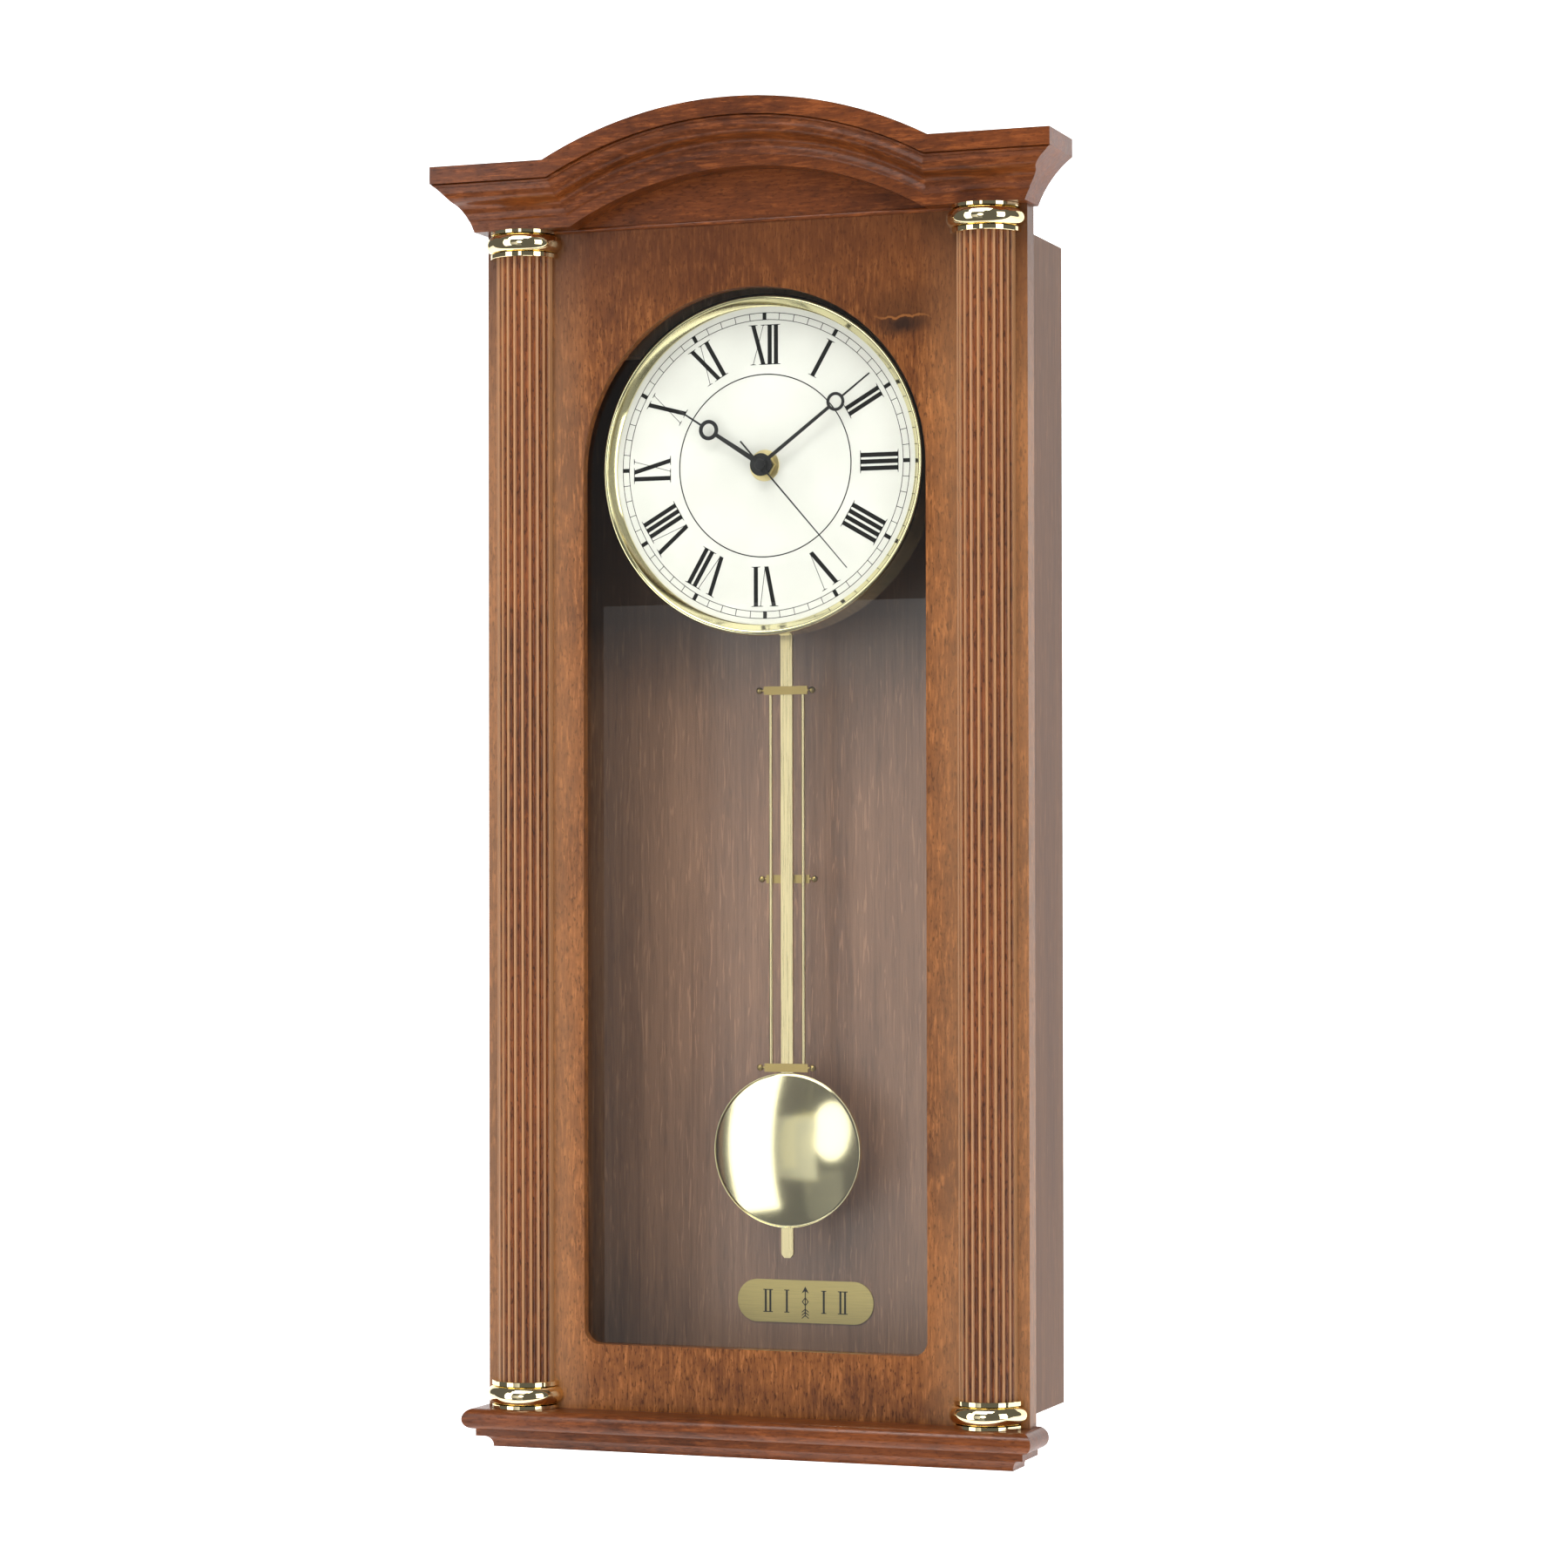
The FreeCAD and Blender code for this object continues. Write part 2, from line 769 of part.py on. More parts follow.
def seconds_wheel():
    pinion_module = 2 * seconds_mesh_spacing / (third_teeth + small_pinion_teeth)
    wheel_module = 2 * step_mesh_spacing / (seconds_teeth + small_pinion_teeth)
    front = gear_layer(4)
    wheel = gear_solid(seconds_teeth, wheel_module, 0, dial_z, 0, front, front + wheel_thickness)
    start = gear_layer(3) - pinion_overlap
    pinion = gear_solid(small_pinion_teeth, pinion_module, 0, dial_z, 0, start, front)
    shaft = rod_y(0, dial_z, seconds_shaft_radius, hand_back(2) - hand_thickness, cover_front - post_end_gap)
    return joined([wheel, pinion, shaft])


def intermediate_wheel():
    pinion_module = 2 * step_mesh_spacing / (seconds_teeth + small_pinion_teeth)
    wheel_module = 2 * rotor_mesh_spacing / (intermediate_teeth + small_pinion_teeth)
    pinion_phase = meshed_phase(0, seconds_teeth, small_pinion_teeth, 180)
    z = dial_z - step_mesh_spacing
    front = gear_layer(5)
    start = gear_layer(4) - pinion_overlap / 2
    pinion = gear_solid(small_pinion_teeth, pinion_module, 0, z, pinion_phase, start, front)
    wheel = gear_solid(intermediate_teeth, wheel_module, 0, z, 0, front, front + wheel_thickness)
    bore = rod_y(0, z, post_radius + running_gap, start, front + wheel_thickness)
    return joined([pinion, wheel]).cut(bore)


def rotor():
    module = 2 * rotor_mesh_spacing / (intermediate_teeth + small_pinion_teeth)
    phase = meshed_phase(0, intermediate_teeth, small_pinion_teeth, 180)
    z = dial_z - step_mesh_spacing - rotor_mesh_spacing
    front = gear_layer(5) - pinion_overlap / 2
    middle = gear_layer(5) + wheel_thickness + boss_gap
    pinion = gear_solid(small_pinion_teeth, module, 0, z, phase, front, middle)
    magnet = rod_y(0, z, rotor_radius, middle, middle + rotor_length)
    bore = rod_y(0, z, thin_post_radius + running_gap, front, middle + rotor_length)
    return joined([pinion, magnet]).cut(bore)


def hand_outline(length, root_half_width, start, y):
    """A blade that swells a little past the middle and ends in a needle."""
    swell = start + (length - start) * hand_swell_share
    wide = root_half_width * hand_swell_width
    points = [Vector(-root_half_width, y, start), Vector(-wide, y, swell),
              Vector(-hand_tip, y, length), Vector(hand_tip, y, length),
              Vector(wide, y, swell), Vector(root_half_width, y, start)]
    return polygon(points).extrude(Vector(0, -hand_thickness, 0))


def turned_hand(hand, degrees):
    hand.rotate(Vector(0, 0, 0), Vector(0, 1, 0), degrees)
    hand.translate(Vector(0, 0, dial_z))
    return hand


def ring_hand(length, ring_distance, root_half_width, hub_radius, bore_radius, index, degrees):
    back = hand_back(index)
    front = back - hand_thickness
    stem = hand_outline(length, root_half_width, hub_radius * 0.8, back)
    hub = rod_y(0, 0, hub_radius, front, back)
    outer = rod_y(0, ring_distance, hand_ring_radius, front, back)
    hole = rod_y(0, ring_distance, hand_ring_hole, front, back)
    hand = joined([stem, hub, outer]).cut(hole)
    return turned_hand(hand.cut(rod_y(0, 0, bore_radius, front, back)), degrees)


def hour_hand():
    return ring_hand(hour_hand_length, hour_ring_distance, hour_root_half_width, hour_hub_radius,
                     hour_pipe_radius, 0, hour_hand_degrees)


def minute_hand():
    return ring_hand(minute_hand_length, minute_ring_distance, minute_root_half_width, minute_hub_radius,
                     minute_shaft_radius, 1, minute_hand_degrees)


def second_hand():
    back = hand_back(2)
    front = back - hand_thickness
    blade = hand_outline(second_hand_length, second_root_half_width, 0, back)
    tail = block(-second_tail_half_width, second_tail_half_width, front, back, -second_hand_tail, 0)
    cap = rod_y(0, 0, hand_cap_radius, front - hand_cap_rise, back)
    hand = joined([blade, tail, cap])
    return turned_hand(hand.cut(rod_y(0, 0, seconds_shaft_radius, front, back)), second_hand_degrees)


# Pendulum

def pendulum_leader():
    front = movement_back + leader_gap
    arm_front = front + magnet_thickness
    arm_back = arm_front + leader_thickness
    hub = rod_y(0, pivot_z, leader_hub_radius, front, arm_back)
    arm = block(-leader_width / 2, leader_width / 2, arm_front, arm_back, pivot_z - leader_length, pivot_z)
    head_front = rod_back + hook_neck
    hook = rod_y(0, hook_z, hook_radius, arm_back, head_front)
    head = rod_y(0, hook_z, hook_head_radius, head_front, head_front + hook_head_thickness)
    leader = joined([hub, arm, hook, head])
    return leader.cut(rod_y(0, pivot_z, axle_radius + running_gap, front, arm_back))


def leader_magnet():
    front = movement_back + leader_gap
    return rod_y(0, dial_z - coil_drop, magnet_radius, front, front + magnet_thickness)


def pendulum_rod():
    half = rod_width / 2
    strip = polygon([Vector(-half, rod_front, hook_z), Vector(half, rod_front, hook_z),
                     Vector(half, rod_front, tip_z + tip_point), Vector(half * 0.5, rod_front, tip_z),
                     Vector(-half * 0.5, rod_front, tip_z), Vector(-half, rod_front, tip_z + tip_point)])
    strip = strip.extrude(Vector(0, rod_thickness, 0))
    pad = block(-rod_eye_width / 2, rod_eye_width / 2, rod_front, rod_back,
                hook_z - rod_eye_below, hook_z + rod_eye_above)
    rod = joined([strip, pad])
    slot_half = hook_radius + running_gap
    entry_z = hook_z - rod_slot_drop
    rod = rod.cut(rod_y(0, hook_z, slot_half, rod_front, rod_back))
    rod = rod.cut(rod_y(0, entry_z, hook_head_radius + rod_slot_gap, rod_front, rod_back))
    return rod.cut(block(-slot_half, slot_half, rod_front, rod_back, entry_z, hook_z))


def pendulum_wires():
    wires = []
    for side in (-1, 1):
        wires.append(rod_z(side * wire_half_spacing, rod_centre_y, rod_thickness / 2,
                           last_bar_z - bar_height / 4, first_bar_z + bar_height / 4))
    return wires


def bar_finial(side, middle, z):
    """A turned neck and ball at one end of a bar."""
    start = bar_half_length - 1
    neck_end = finial_centre - math.sqrt(finial_radius ** 2 - finial_neck_radius ** 2)

    def at(distance, rise):
        return Vector(side * distance, middle, z + rise)

    edges = [line(at(start, 0), at(start, finial_neck_radius)),
             line(at(start, finial_neck_radius), at(neck_end, finial_neck_radius)),
             arc(at(neck_end, finial_neck_radius), at(finial_centre, finial_radius),
                 at(finial_centre + finial_radius, 0)),
             line(at(finial_centre + finial_radius, 0), at(start, 0))]
    return face_of(edges).revolve(Vector(0, middle, z), Vector(1, 0, 0), 360)


def pendulum_bar(index):
    z = first_bar_z - index * bar_spacing
    front = rod_back if index == 1 else rod_front - bar_thickness
    middle = front + bar_thickness / 2
    plate = block(-bar_half_length, bar_half_length, front, front + bar_thickness,
                  z - bar_height / 2, z + bar_height / 2)
    return joined([plate, bar_finial(-1, middle, z), bar_finial(1, middle, z)])


def bob_shell(direction, swell):
    """A thin domed shell; direction is -1 for the front and 1 for the back."""
    rim = rod_centre_y + direction * bob_rim

    def dome(radius, rise, base):
        sphere_radius = (radius ** 2 + rise ** 2) / (2 * rise)
        centre = Vector(0, base + direction * (rise - sphere_radius), bob_z)
        ball = Part.makeSphere(sphere_radius, centre)
        far = base + direction * (rise + 1)
        return ball.common(rod_y(0, bob_z, radius, base, far))

    outer = joined([dome(bob_radius, swell, rim), rod_y(0, bob_z, bob_radius, rod_centre_y, rim)])
    inner_radius = bob_radius - shell_wall
    hollow = joined([dome(inner_radius, swell - shell_wall, rim),
                     rod_y(0, bob_z, inner_radius, rod_centre_y, rim)])
    shell = outer.cut(hollow)
    notch = block(-rod_width / 2, rod_width / 2, rod_front, rod_back,
                  bob_z - bob_radius - 1, bob_z + bob_radius + 1)
    return shell.cut(notch)


# Beat plate

def beat_plate_pins():
    pins = []
    for side in (-1, 1):
        pins.append(rod_y(side * plate_pin_half_spacing, plate_z, pin_radius,
                          panel_front - plate_thickness, -plate_pin_end))
    return pins


def beat_plate(pins):
    half = plate_width / 2
    front = panel_front - plate_thickness
    plate = block(-half, half, front, panel_front, plate_z - plate_height / 2, plate_z + plate_height / 2)
    ends = [edge for edge in plate.Edges if along_y(edge)]
    plate = plate.makeFillet(plate_height / 2 - plate_corner_gap, ends)
    for pin in pins:
        plate = plate.cut(pin)
    return plate


# Door

def window_solid(grow, y0, y1):
    half = window_half_width + grow
    low = window_bottom - grow
    corner = window_corner_radius
    centre = window_arch_z
    slant = corner * (1 - math.sqrt(0.5))

    def at(x, z):
        return Vector(x, y0, z)

    edges = [line(at(-half, centre), at(-half, low + corner)),
             arc(at(-half, low + corner), at(-half + slant, low + slant), at(-half + corner, low)),
             line(at(-half + corner, low), at(half - corner, low)),
             arc(at(half - corner, low), at(half - slant, low + slant), at(half, low + corner)),
             line(at(half, low + corner), at(half, centre)),
             arc(at(half, centre), at(0, centre + half), at(-half, centre))]
    return face_of(edges).extrude(Vector(0, y1 - y0, 0))


def door_panel(cutters):
    panel = block(-door_half, door_half, door_front, door_back, door_bottom, door_top)
    panel = panel.cut(window_solid(0, door_front, door_back))
    panel = panel.cut(window_solid(glass_cover, glass_front, door_back))
    for cutter in cutters:
        panel = panel.cut(cutter)
    return panel


def door_glass():
    return window_solid(glass_cover - glass_edge_gap, glass_front, glass_back)


def glass_bead():
    outer = window_solid(glass_cover, glass_back, door_back)
    return outer.cut(window_solid(glass_cover - bead_width, glass_back, door_back))


def cornice_profile():
    """The moulding's section at the top of its arch."""
    fascia_bottom = cornice_height - fascia_height
    foot_z = cornice_top + arch_rise - cornice_height

    def at(projection, height):
        return Vector(0, door_front - projection, foot_z + height)

    def curve(start, end, bulge):
        """An arc between two (projection, height) points that stands off its chord, outward and down."""
        run, rise = end[0] - start[0], end[1] - start[1]
        share = bulge / math.hypot(run, rise)
        middle = at((start[0] + end[0]) / 2 + rise * share, (start[1] + end[1]) / 2 - run * share)
        return arc(at(start[0], start[1]), middle, at(end[0], end[1]))

    cove_low = cornice_foot_height + cornice_step
    turn = (cornice_turn_projection, cornice_turn_height)
    round_end = (cornice_round_end, cornice_round_top)
    bead_low = cornice_round_top + cornice_bead_step
    points = [at(-door_thickness, 0), at(cornice_foot_projection, 0),
              at(cornice_foot_projection, cornice_foot_height), at(cornice_cove_start, cove_low)]
    edges = [line(points[0], points[1]), line(points[1], points[2]), line(points[2], points[3])]
    edges.append(curve((cornice_cove_start, cove_low), turn, -cornice_curve_bulge))
    edges.append(curve(turn, round_end, cornice_curve_bulge))
    bead_start = at(cornice_round_end, bead_low)
    bead_end = at(cornice_bead_projection - cornice_bead_inset, fascia_bottom)
    bead_middle = at(cornice_bead_projection + cornice_bead_inset, (bead_low + fascia_bottom) / 2)
    edges.append(line(at(cornice_round_end, cornice_round_top), bead_start))
    edges.append(arc(bead_start, bead_middle, bead_end))
    edges.append(line(bead_end, at(cornice_projection, fascia_bottom)))
    edges.append(line(at(cornice_projection, fascia_bottom), at(cornice_projection, cornice_height)))
    edges.append(line(at(cornice_projection, cornice_height), at(-door_thickness, cornice_height)))
    edges.append(line(at(-door_thickness, cornice_height), points[0]))
    return face_of(edges)


def between_mitres():
    """Everything between the two mitre planes of the arch."""
    inner_radius = arch_radius - cornice_height
    corner_low = math.sqrt(inner_radius ** 2 - (door_top - arch_centre_z) ** 2)
    lean = (arch_half_width - corner_low) / cornice_height
    y0 = door_front - cornice_projection - 1
    low_x = corner_low - lean * cornice_height
    high_x = arch_half_width + lean * cornice_height
    low_z = door_top - cornice_height
    high_z = cornice_top + cornice_height
    middle = polygon([Vector(-low_x, y0, low_z), Vector(low_x, y0, low_z),
                      Vector(high_x, y0, high_z), Vector(-high_x, y0, high_z)])
    return middle.extrude(Vector(0, door_back - y0 + 1, 0))


def mitre_face(bend, side):
    """The flat end of the arch on one side, which the level wing runs out from."""
    for face in bend.Faces:
        normal = face.normalAt(0, 0)
        if face.Surface.TypeId == "Part::GeomPlane" and side * normal.x > 0.5:
            return face
    raise RuntimeError("no mitre face")


def cornice_ends():
    fascia_bottom = door_top + cornice_height - fascia_height
    low_x = cornice_half_width - cornice_end_inset
    y0 = door_front - cornice_projection - 1
    right_low = Vector(low_x, y0, door_top)
    right_high = Vector(cornice_half_width, y0, fascia_bottom)
    left_low = Vector(-low_x, y0, door_top)
    left_high = Vector(-cornice_half_width, y0, fascia_bottom)
    right_middle = lens_arc_middle(right_low, right_high, cornice_end_hollow)
    left_middle = Vector(-right_middle.x, y0, right_middle.z)
    top_right = Vector(cornice_half_width, y0, cornice_top)
    top_left = Vector(-cornice_half_width, y0, cornice_top)
    edges = [line(left_low, right_low), arc(right_low, right_middle, right_high), line(right_high, top_right),
             line(top_right, top_left), line(top_left, left_high), arc(left_high, left_middle, left_low)]
    return face_of(edges).extrude(Vector(0, door_back - y0 + 1, 0))


def cornice():
    """An arched length, with a level wing from each of its mitred ends."""
    centre = Vector(0, 0, arch_centre_z)
    bend = cornice_profile().revolve(centre, Vector(0, 1, 0), arch_sweep_degrees)
    bend.rotate(centre, Vector(0, 1, 0), -arch_sweep_degrees / 2)
    bend = bend.common(between_mitres())
    parts = [bend]
    for side in (-1, 1):
        wing = mitre_face(bend, side).extrude(Vector(side * cornice_half_width, 0, 0))
        parts.append(wing.common(cornice_ends()))
    return joined(parts)


def arch_infill():
    low_radius = arch_radius - cornice_height
    board = rod_y(0, arch_centre_z, low_radius, door_front, door_back)
    far = cornice_half_width
    board = board.common(block(-far, far, door_front, door_back, door_top, cornice_top + arch_rise))
    return board.common(between_mitres())


def base_profile(corner, outward, back_depth):
    """The base moulding's section, which projects outward from corner and reaches back_depth behind it."""
    def at(projection, drop):
        return corner + outward * projection + Vector(0, 0, -drop)

    nose_radius = bullnose_height / 2
    nose_centre = base_projection - nose_radius
    fillet_end = bullnose_height + fillet_height
    cove_start = fillet_projection - base_cove_step
    back = at(-back_depth, 0)
    back_low = at(-back_depth, base_height)
    edges = [line(back, at(nose_centre, 0)),
             arc(at(nose_centre, 0), at(base_projection, nose_radius), at(nose_centre, bullnose_height)),
             line(at(nose_centre, bullnose_height), at(fillet_projection, bullnose_height)),
             line(at(fillet_projection, bullnose_height), at(fillet_projection, fillet_end)),
             line(at(fillet_projection, fillet_end), at(cove_start, fillet_end))]
    cove_middle = at(base_foot_projection + base_cove_out, fillet_end + base_cove_drop)
    edges.append(arc(at(cove_start, fillet_end), cove_middle, at(base_foot_projection, base_height)))
    edges.append(line(at(base_foot_projection, base_height), back_low))
    edges.append(line(back_low, back))
    return face_of(edges)


def base_moulding():
    """A front length between two short returns, joined on upright mitres."""
    core_half = base_half_width - base_projection
    reach = base_projection + mitre_margin
    start = door_front - reach
    low = base_bottom - 1
    height = base_height + 2

    def prism(points):
        return polygon([Vector(x, y, low) for x, y in points]).extrude(Vector(0, 0, height))

    half = base_half_width + mitre_margin
    front = base_profile(Vector(-half, door_front, door_bottom), Vector(0, -1, 0), door_thickness)
    front = front.extrude(Vector(2 * half, 0, 0))
    pieces = [front.common(prism([(-core_half, door_back), (core_half, door_back), (core_half, door_front),
                                  (core_half + reach, start), (-core_half - reach, start),
                                  (-core_half, door_front)]))]
    for side in (-1, 1):
        end = base_profile(Vector(side * core_half, start, door_bottom), Vector(side, 0, 0), 0)
        end = end.extrude(Vector(0, door_back - start, 0))
        far = side * (core_half + reach)
        pieces.append(end.common(prism([(side * core_half, door_back), (far, door_back), (far, start),
                                        (side * core_half, door_front)])))
    return joined(pieces)


def column_heights():
    ring_height = collar_near_shaft + ring_swell_height + collar_far
    return door_bottom + ring_height, door_top - ring_height


def column(side):
    low, high = column_heights()
    x = side * column_centre
    shaft = rod_z(x, door_front, column_radius, low, high)
    for index in range(flute_count):
        share = (index + 0.5) / flute_count - 0.5
        angle = math.radians(share * flute_span_degrees)
        distance = column_radius + flute_radius - flute_depth
        cut_x = x + distance * math.sin(angle)
        cut_y = door_front - distance * math.cos(angle)
        shaft = shaft.cut(rod_z(cut_x, cut_y, flute_radius, low, high))
    front_half = block(x - ring_radius, x + ring_radius, door_front - ring_radius, door_front, low, high)
    return shaft.common(front_half)


def column_ring(side, top):
    """A half-round turned ring; the collar beside the shaft is the lower one of the two."""
    x = side * column_centre
    low, high = column_heights()
    start = high if top else low
    up = 1 if top else -1

    def at(radius, rise):
        return Vector(x + radius, door_front, start + up * rise)

    swell_start = collar_near_shaft
    swell_end = swell_start + ring_swell_height
    end = swell_end + collar_far
    waist = collar_radius - ring_groove
    swell_middle = (swell_start + swell_end) / 2
    edges = [line(at(0, 0), at(collar_radius, 0)),
             line(at(collar_radius, 0), at(collar_radius, swell_start - ring_groove_step)),
             line(at(collar_radius, swell_start - ring_groove_step), at(waist, swell_start)),
             arc(at(waist, swell_start), at(ring_radius, swell_middle), at(waist, swell_end)),
             line(at(waist, swell_end), at(collar_radius, swell_end + ring_groove_step)),
             line(at(collar_radius, swell_end + ring_groove_step), at(collar_radius, end)),
             line(at(collar_radius, end), at(0, end)), line(at(0, end), at(0, 0))]
    return face_of(edges).revolve(Vector(x, door_front, start), Vector(0, 0, 1), -180)


# Hinges and catch

def hinge_centres():
    return [case_bottom + hinge_inset, case_top - hinge_inset]


def knuckle(z0, z1, bore):
    return rod_z(hinge_x, hinge_y, knuckle_radius, z0, z1).cut(rod_z(hinge_x, hinge_y, bore, z0, z1))


def case_leaf(centre):
    low = centre - hinge_height / 2
    high = centre + hinge_height / 2
    third = hinge_height / 3
    leaf = block(-case_half - leaf_thickness, -case_half, hinge_y, hinge_y + leaf_reach, low, high)
    web = block(-case_half - leaf_thickness, hinge_x, hinge_y + knuckle_radius - leaf_thickness,
                hinge_y + knuckle_radius, low, high)
    barrel = rod_z(hinge_x, hinge_y, knuckle_radius, low, high)
    leaf = joined([leaf, web, barrel])
    clear = 2 * knuckle_radius
    middle = block(hinge_x - clear, -case_half + leaf_thickness, hinge_y - clear,
                   hinge_y + knuckle_radius + knuckle_gap, low + third, high - third)
    leaf = leaf.cut(middle)
    return leaf.cut(rod_z(hinge_x, hinge_y, hinge_pin_radius, low, high))


def door_leaf(centre):
    low = centre - hinge_height / 2
    high = centre + hinge_height / 2
    third = hinge_height / 3
    barrel_low = low + third + knuckle_gap
    barrel_high = high - third - knuckle_gap
    leaf = block(hinge_x, hinge_x + leaf_reach, door_back - leaf_thickness, door_back, low, high)
    barrel = rod_z(hinge_x, hinge_y, knuckle_radius, barrel_low, barrel_high)
    web = block(hinge_x - leaf_thickness / 2, hinge_x + leaf_thickness / 2,
                door_back - leaf_thickness, hinge_y, barrel_low, barrel_high)
    leaf = joined([leaf, barrel, web])
    return leaf.cut(rod_z(hinge_x, hinge_y, hinge_pin_radius + running_gap, low, high))


def door_leaf_seat(centre):
    low = centre - hinge_height / 2 - leaf_seat_gap
    high = centre + hinge_height / 2 + leaf_seat_gap
    return block(hinge_x - leaf_thickness, hinge_x + leaf_reach + leaf_seat_gap,
                 door_back - leaf_thickness, door_back, low, high)


def hinge_pin(centre):
    low = centre - hinge_height / 2 - hinge_pin_overhang
    high = centre + hinge_height / 2 + hinge_pin_overhang
    return rod_z(hinge_x, hinge_y, hinge_pin_radius, low, high)


def small_screw(x, y, z, direction):
    head_depth = leaf_screw_head - leaf_screw_radius
    start = Vector(x, y, z)
    head = Part.makeCone(leaf_screw_head, leaf_screw_radius, head_depth, start, direction)
    shank = Part.makeCylinder(leaf_screw_radius, leaf_screw_length, start, direction)
    return head.fuse(shank).removeSplitter()


def case_hinge_screws():
    screws = []
    for centre in hinge_centres():
        for up in (-1, 1):
            z = centre + up * hinge_height * leaf_screw_spread
            screws.append(small_screw(-case_half - leaf_thickness, hinge_y + leaf_reach * leaf_screw_reach,
                                      z, Vector(1, 0, 0)))
    return screws


def door_hinge_screws():
    screws = []
    for centre in hinge_centres():
        for up in (-1, 1):
            z = centre + up * hinge_height * leaf_screw_spread
            screws.append(small_screw(hinge_x + leaf_reach * leaf_screw_reach, door_back,
                                      z, Vector(0, -1, 0)))
    return screws


def catch_z():
    return (case_top + case_bottom) / 2


def magnet_catch():
    z = catch_z()
    front = case_front + strike_thickness
    return block(inner_half - catch_width, inner_half, front, front + catch_depth,
                 z - catch_height / 2, z + catch_height / 2)


def strike_plate():
    z = catch_z()
    back = case_front + strike_thickness - catch_gap
    return block(inner_half - catch_width, inner_half - 1, door_back, back,
                 z - catch_height / 2, z + catch_height / 2)


def save(name, solids):
    if not isinstance(solids, list):
        solids = [solids]
    found = []
    for solid in solids:
        found.extend(solid.Solids)
    shape = found[0] if len(found) == 1 else Part.makeCompound(found)
    if not shape.isValid() or min(solid.Volume for solid in found) <= 0:
        raise RuntimeError("bad solid: " + name)
    shape.exportStep("parts/" + name + ".step")


def cut_all(solid, cutters):
    for cutter in cutters:
        solid = solid.cut(cutter)
    return solid


def build_case():
    screws = panel_screws()
    pins = back_pins()
    plate_pins = beat_plate_pins()
    case_screws = case_hinge_screws()
    save("left_side_panel", cut_all(side_panel(-1), pins + case_screws))
    save("right_side_panel", cut_all(side_panel(1), pins))
    save("case_top_board", cut_all(cross_board(case_top - board_thickness), pins))
    save("case_bottom_board", cut_all(cross_board(case_bottom), pins))
    save("back_panel", back_panel(screws, pins + plate_pins))
    save("panel_pins", pins + plate_pins)
    save("hanging_batten", hanging_batten(screws))
    save("hanger_plate", hanger_plate(screws))
    save("panel_screws", screws)
    save("movement_bracket", movement_bracket(screws))
    save("beat_plate", beat_plate(plate_pins))
    save("magnet_catch", magnet_catch())
    save("hinge_case_leaves", [cut_all(case_leaf(centre), case_screws) for centre in hinge_centres()])
    save("hinge_case_screws", case_screws)
    save("hinge_pins", [hinge_pin(centre) for centre in hinge_centres()])


def build_movement():
    save("movement_front_housing", movement_front_housing())
    save("movement_rear_cover", movement_rear_cover())
    save("battery", battery())
    save("battery_contacts", battery_contacts())
    save("motor_coil", motor_coil())
    save("pendulum_coil", pendulum_coil())
    save("dial_drum", dial_drum())
    save("dial_web", dial_web())
    save("dial_face", dial_face())
    save("dial_bezel", dial_bezel())
    save("centre_washer_and_nut", [centre_washer(), centre_nut()])
    save("hour_wheel", hour_wheel())
    save("motion_wheel", motion_wheel())
    save("minute_arbor", minute_arbor())
    save("setting_knob", setting_knob())
    save("centre_wheel", centre_wheel())
    save("third_wheel", third_wheel())
    save("seconds_wheel", seconds_wheel())
    save("intermediate_wheel", intermediate_wheel())
    save("rotor", rotor())
    save("hour_hand", hour_hand())
    save("minute_hand", minute_hand())
    save("second_hand", second_hand())


def build_pendulum():
    save("pendulum_leader", pendulum_leader())
    save("leader_magnet", leader_magnet())
    save("pendulum_rod", pendulum_rod())
    save("pendulum_wires", pendulum_wires())
    save("pendulum_bars", [pendulum_bar(index) for index in range(3)])
    save("bob_front_shell", bob_shell(-1, bob_front_swell))
    save("bob_back_shell", bob_shell(1, bob_back_swell))


def build_door():
    screws = door_hinge_screws()
    seats = [door_leaf_seat(centre) for centre in hinge_centres()]
    save("door_panel", door_panel(seats + screws))
    save("arch_infill", arch_infill())
    save("cornice", cornice())
    save("base_moulding", base_moulding())
    for side, word in ((-1, "left"), (1, "right")):
        save(word + "_column", column(side))
        save(word + "_capital_ring", column_ring(side, True))
        save(word + "_foot_ring", column_ring(side, False))
    save("door_glass", door_glass())
    save("glass_bead", glass_bead())
    save("strike_plate", strike_plate())
    save("hinge_door_leaves", [cut_all(door_leaf(centre), screws) for centre in hinge_centres()])
    save("hinge_door_screws", screws)


os.makedirs("parts", exist_ok=True)
build_case()
build_movement()
build_pendulum()
build_door()
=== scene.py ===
import math

import bmesh
import bpy
from mathutils import Matrix, Vector


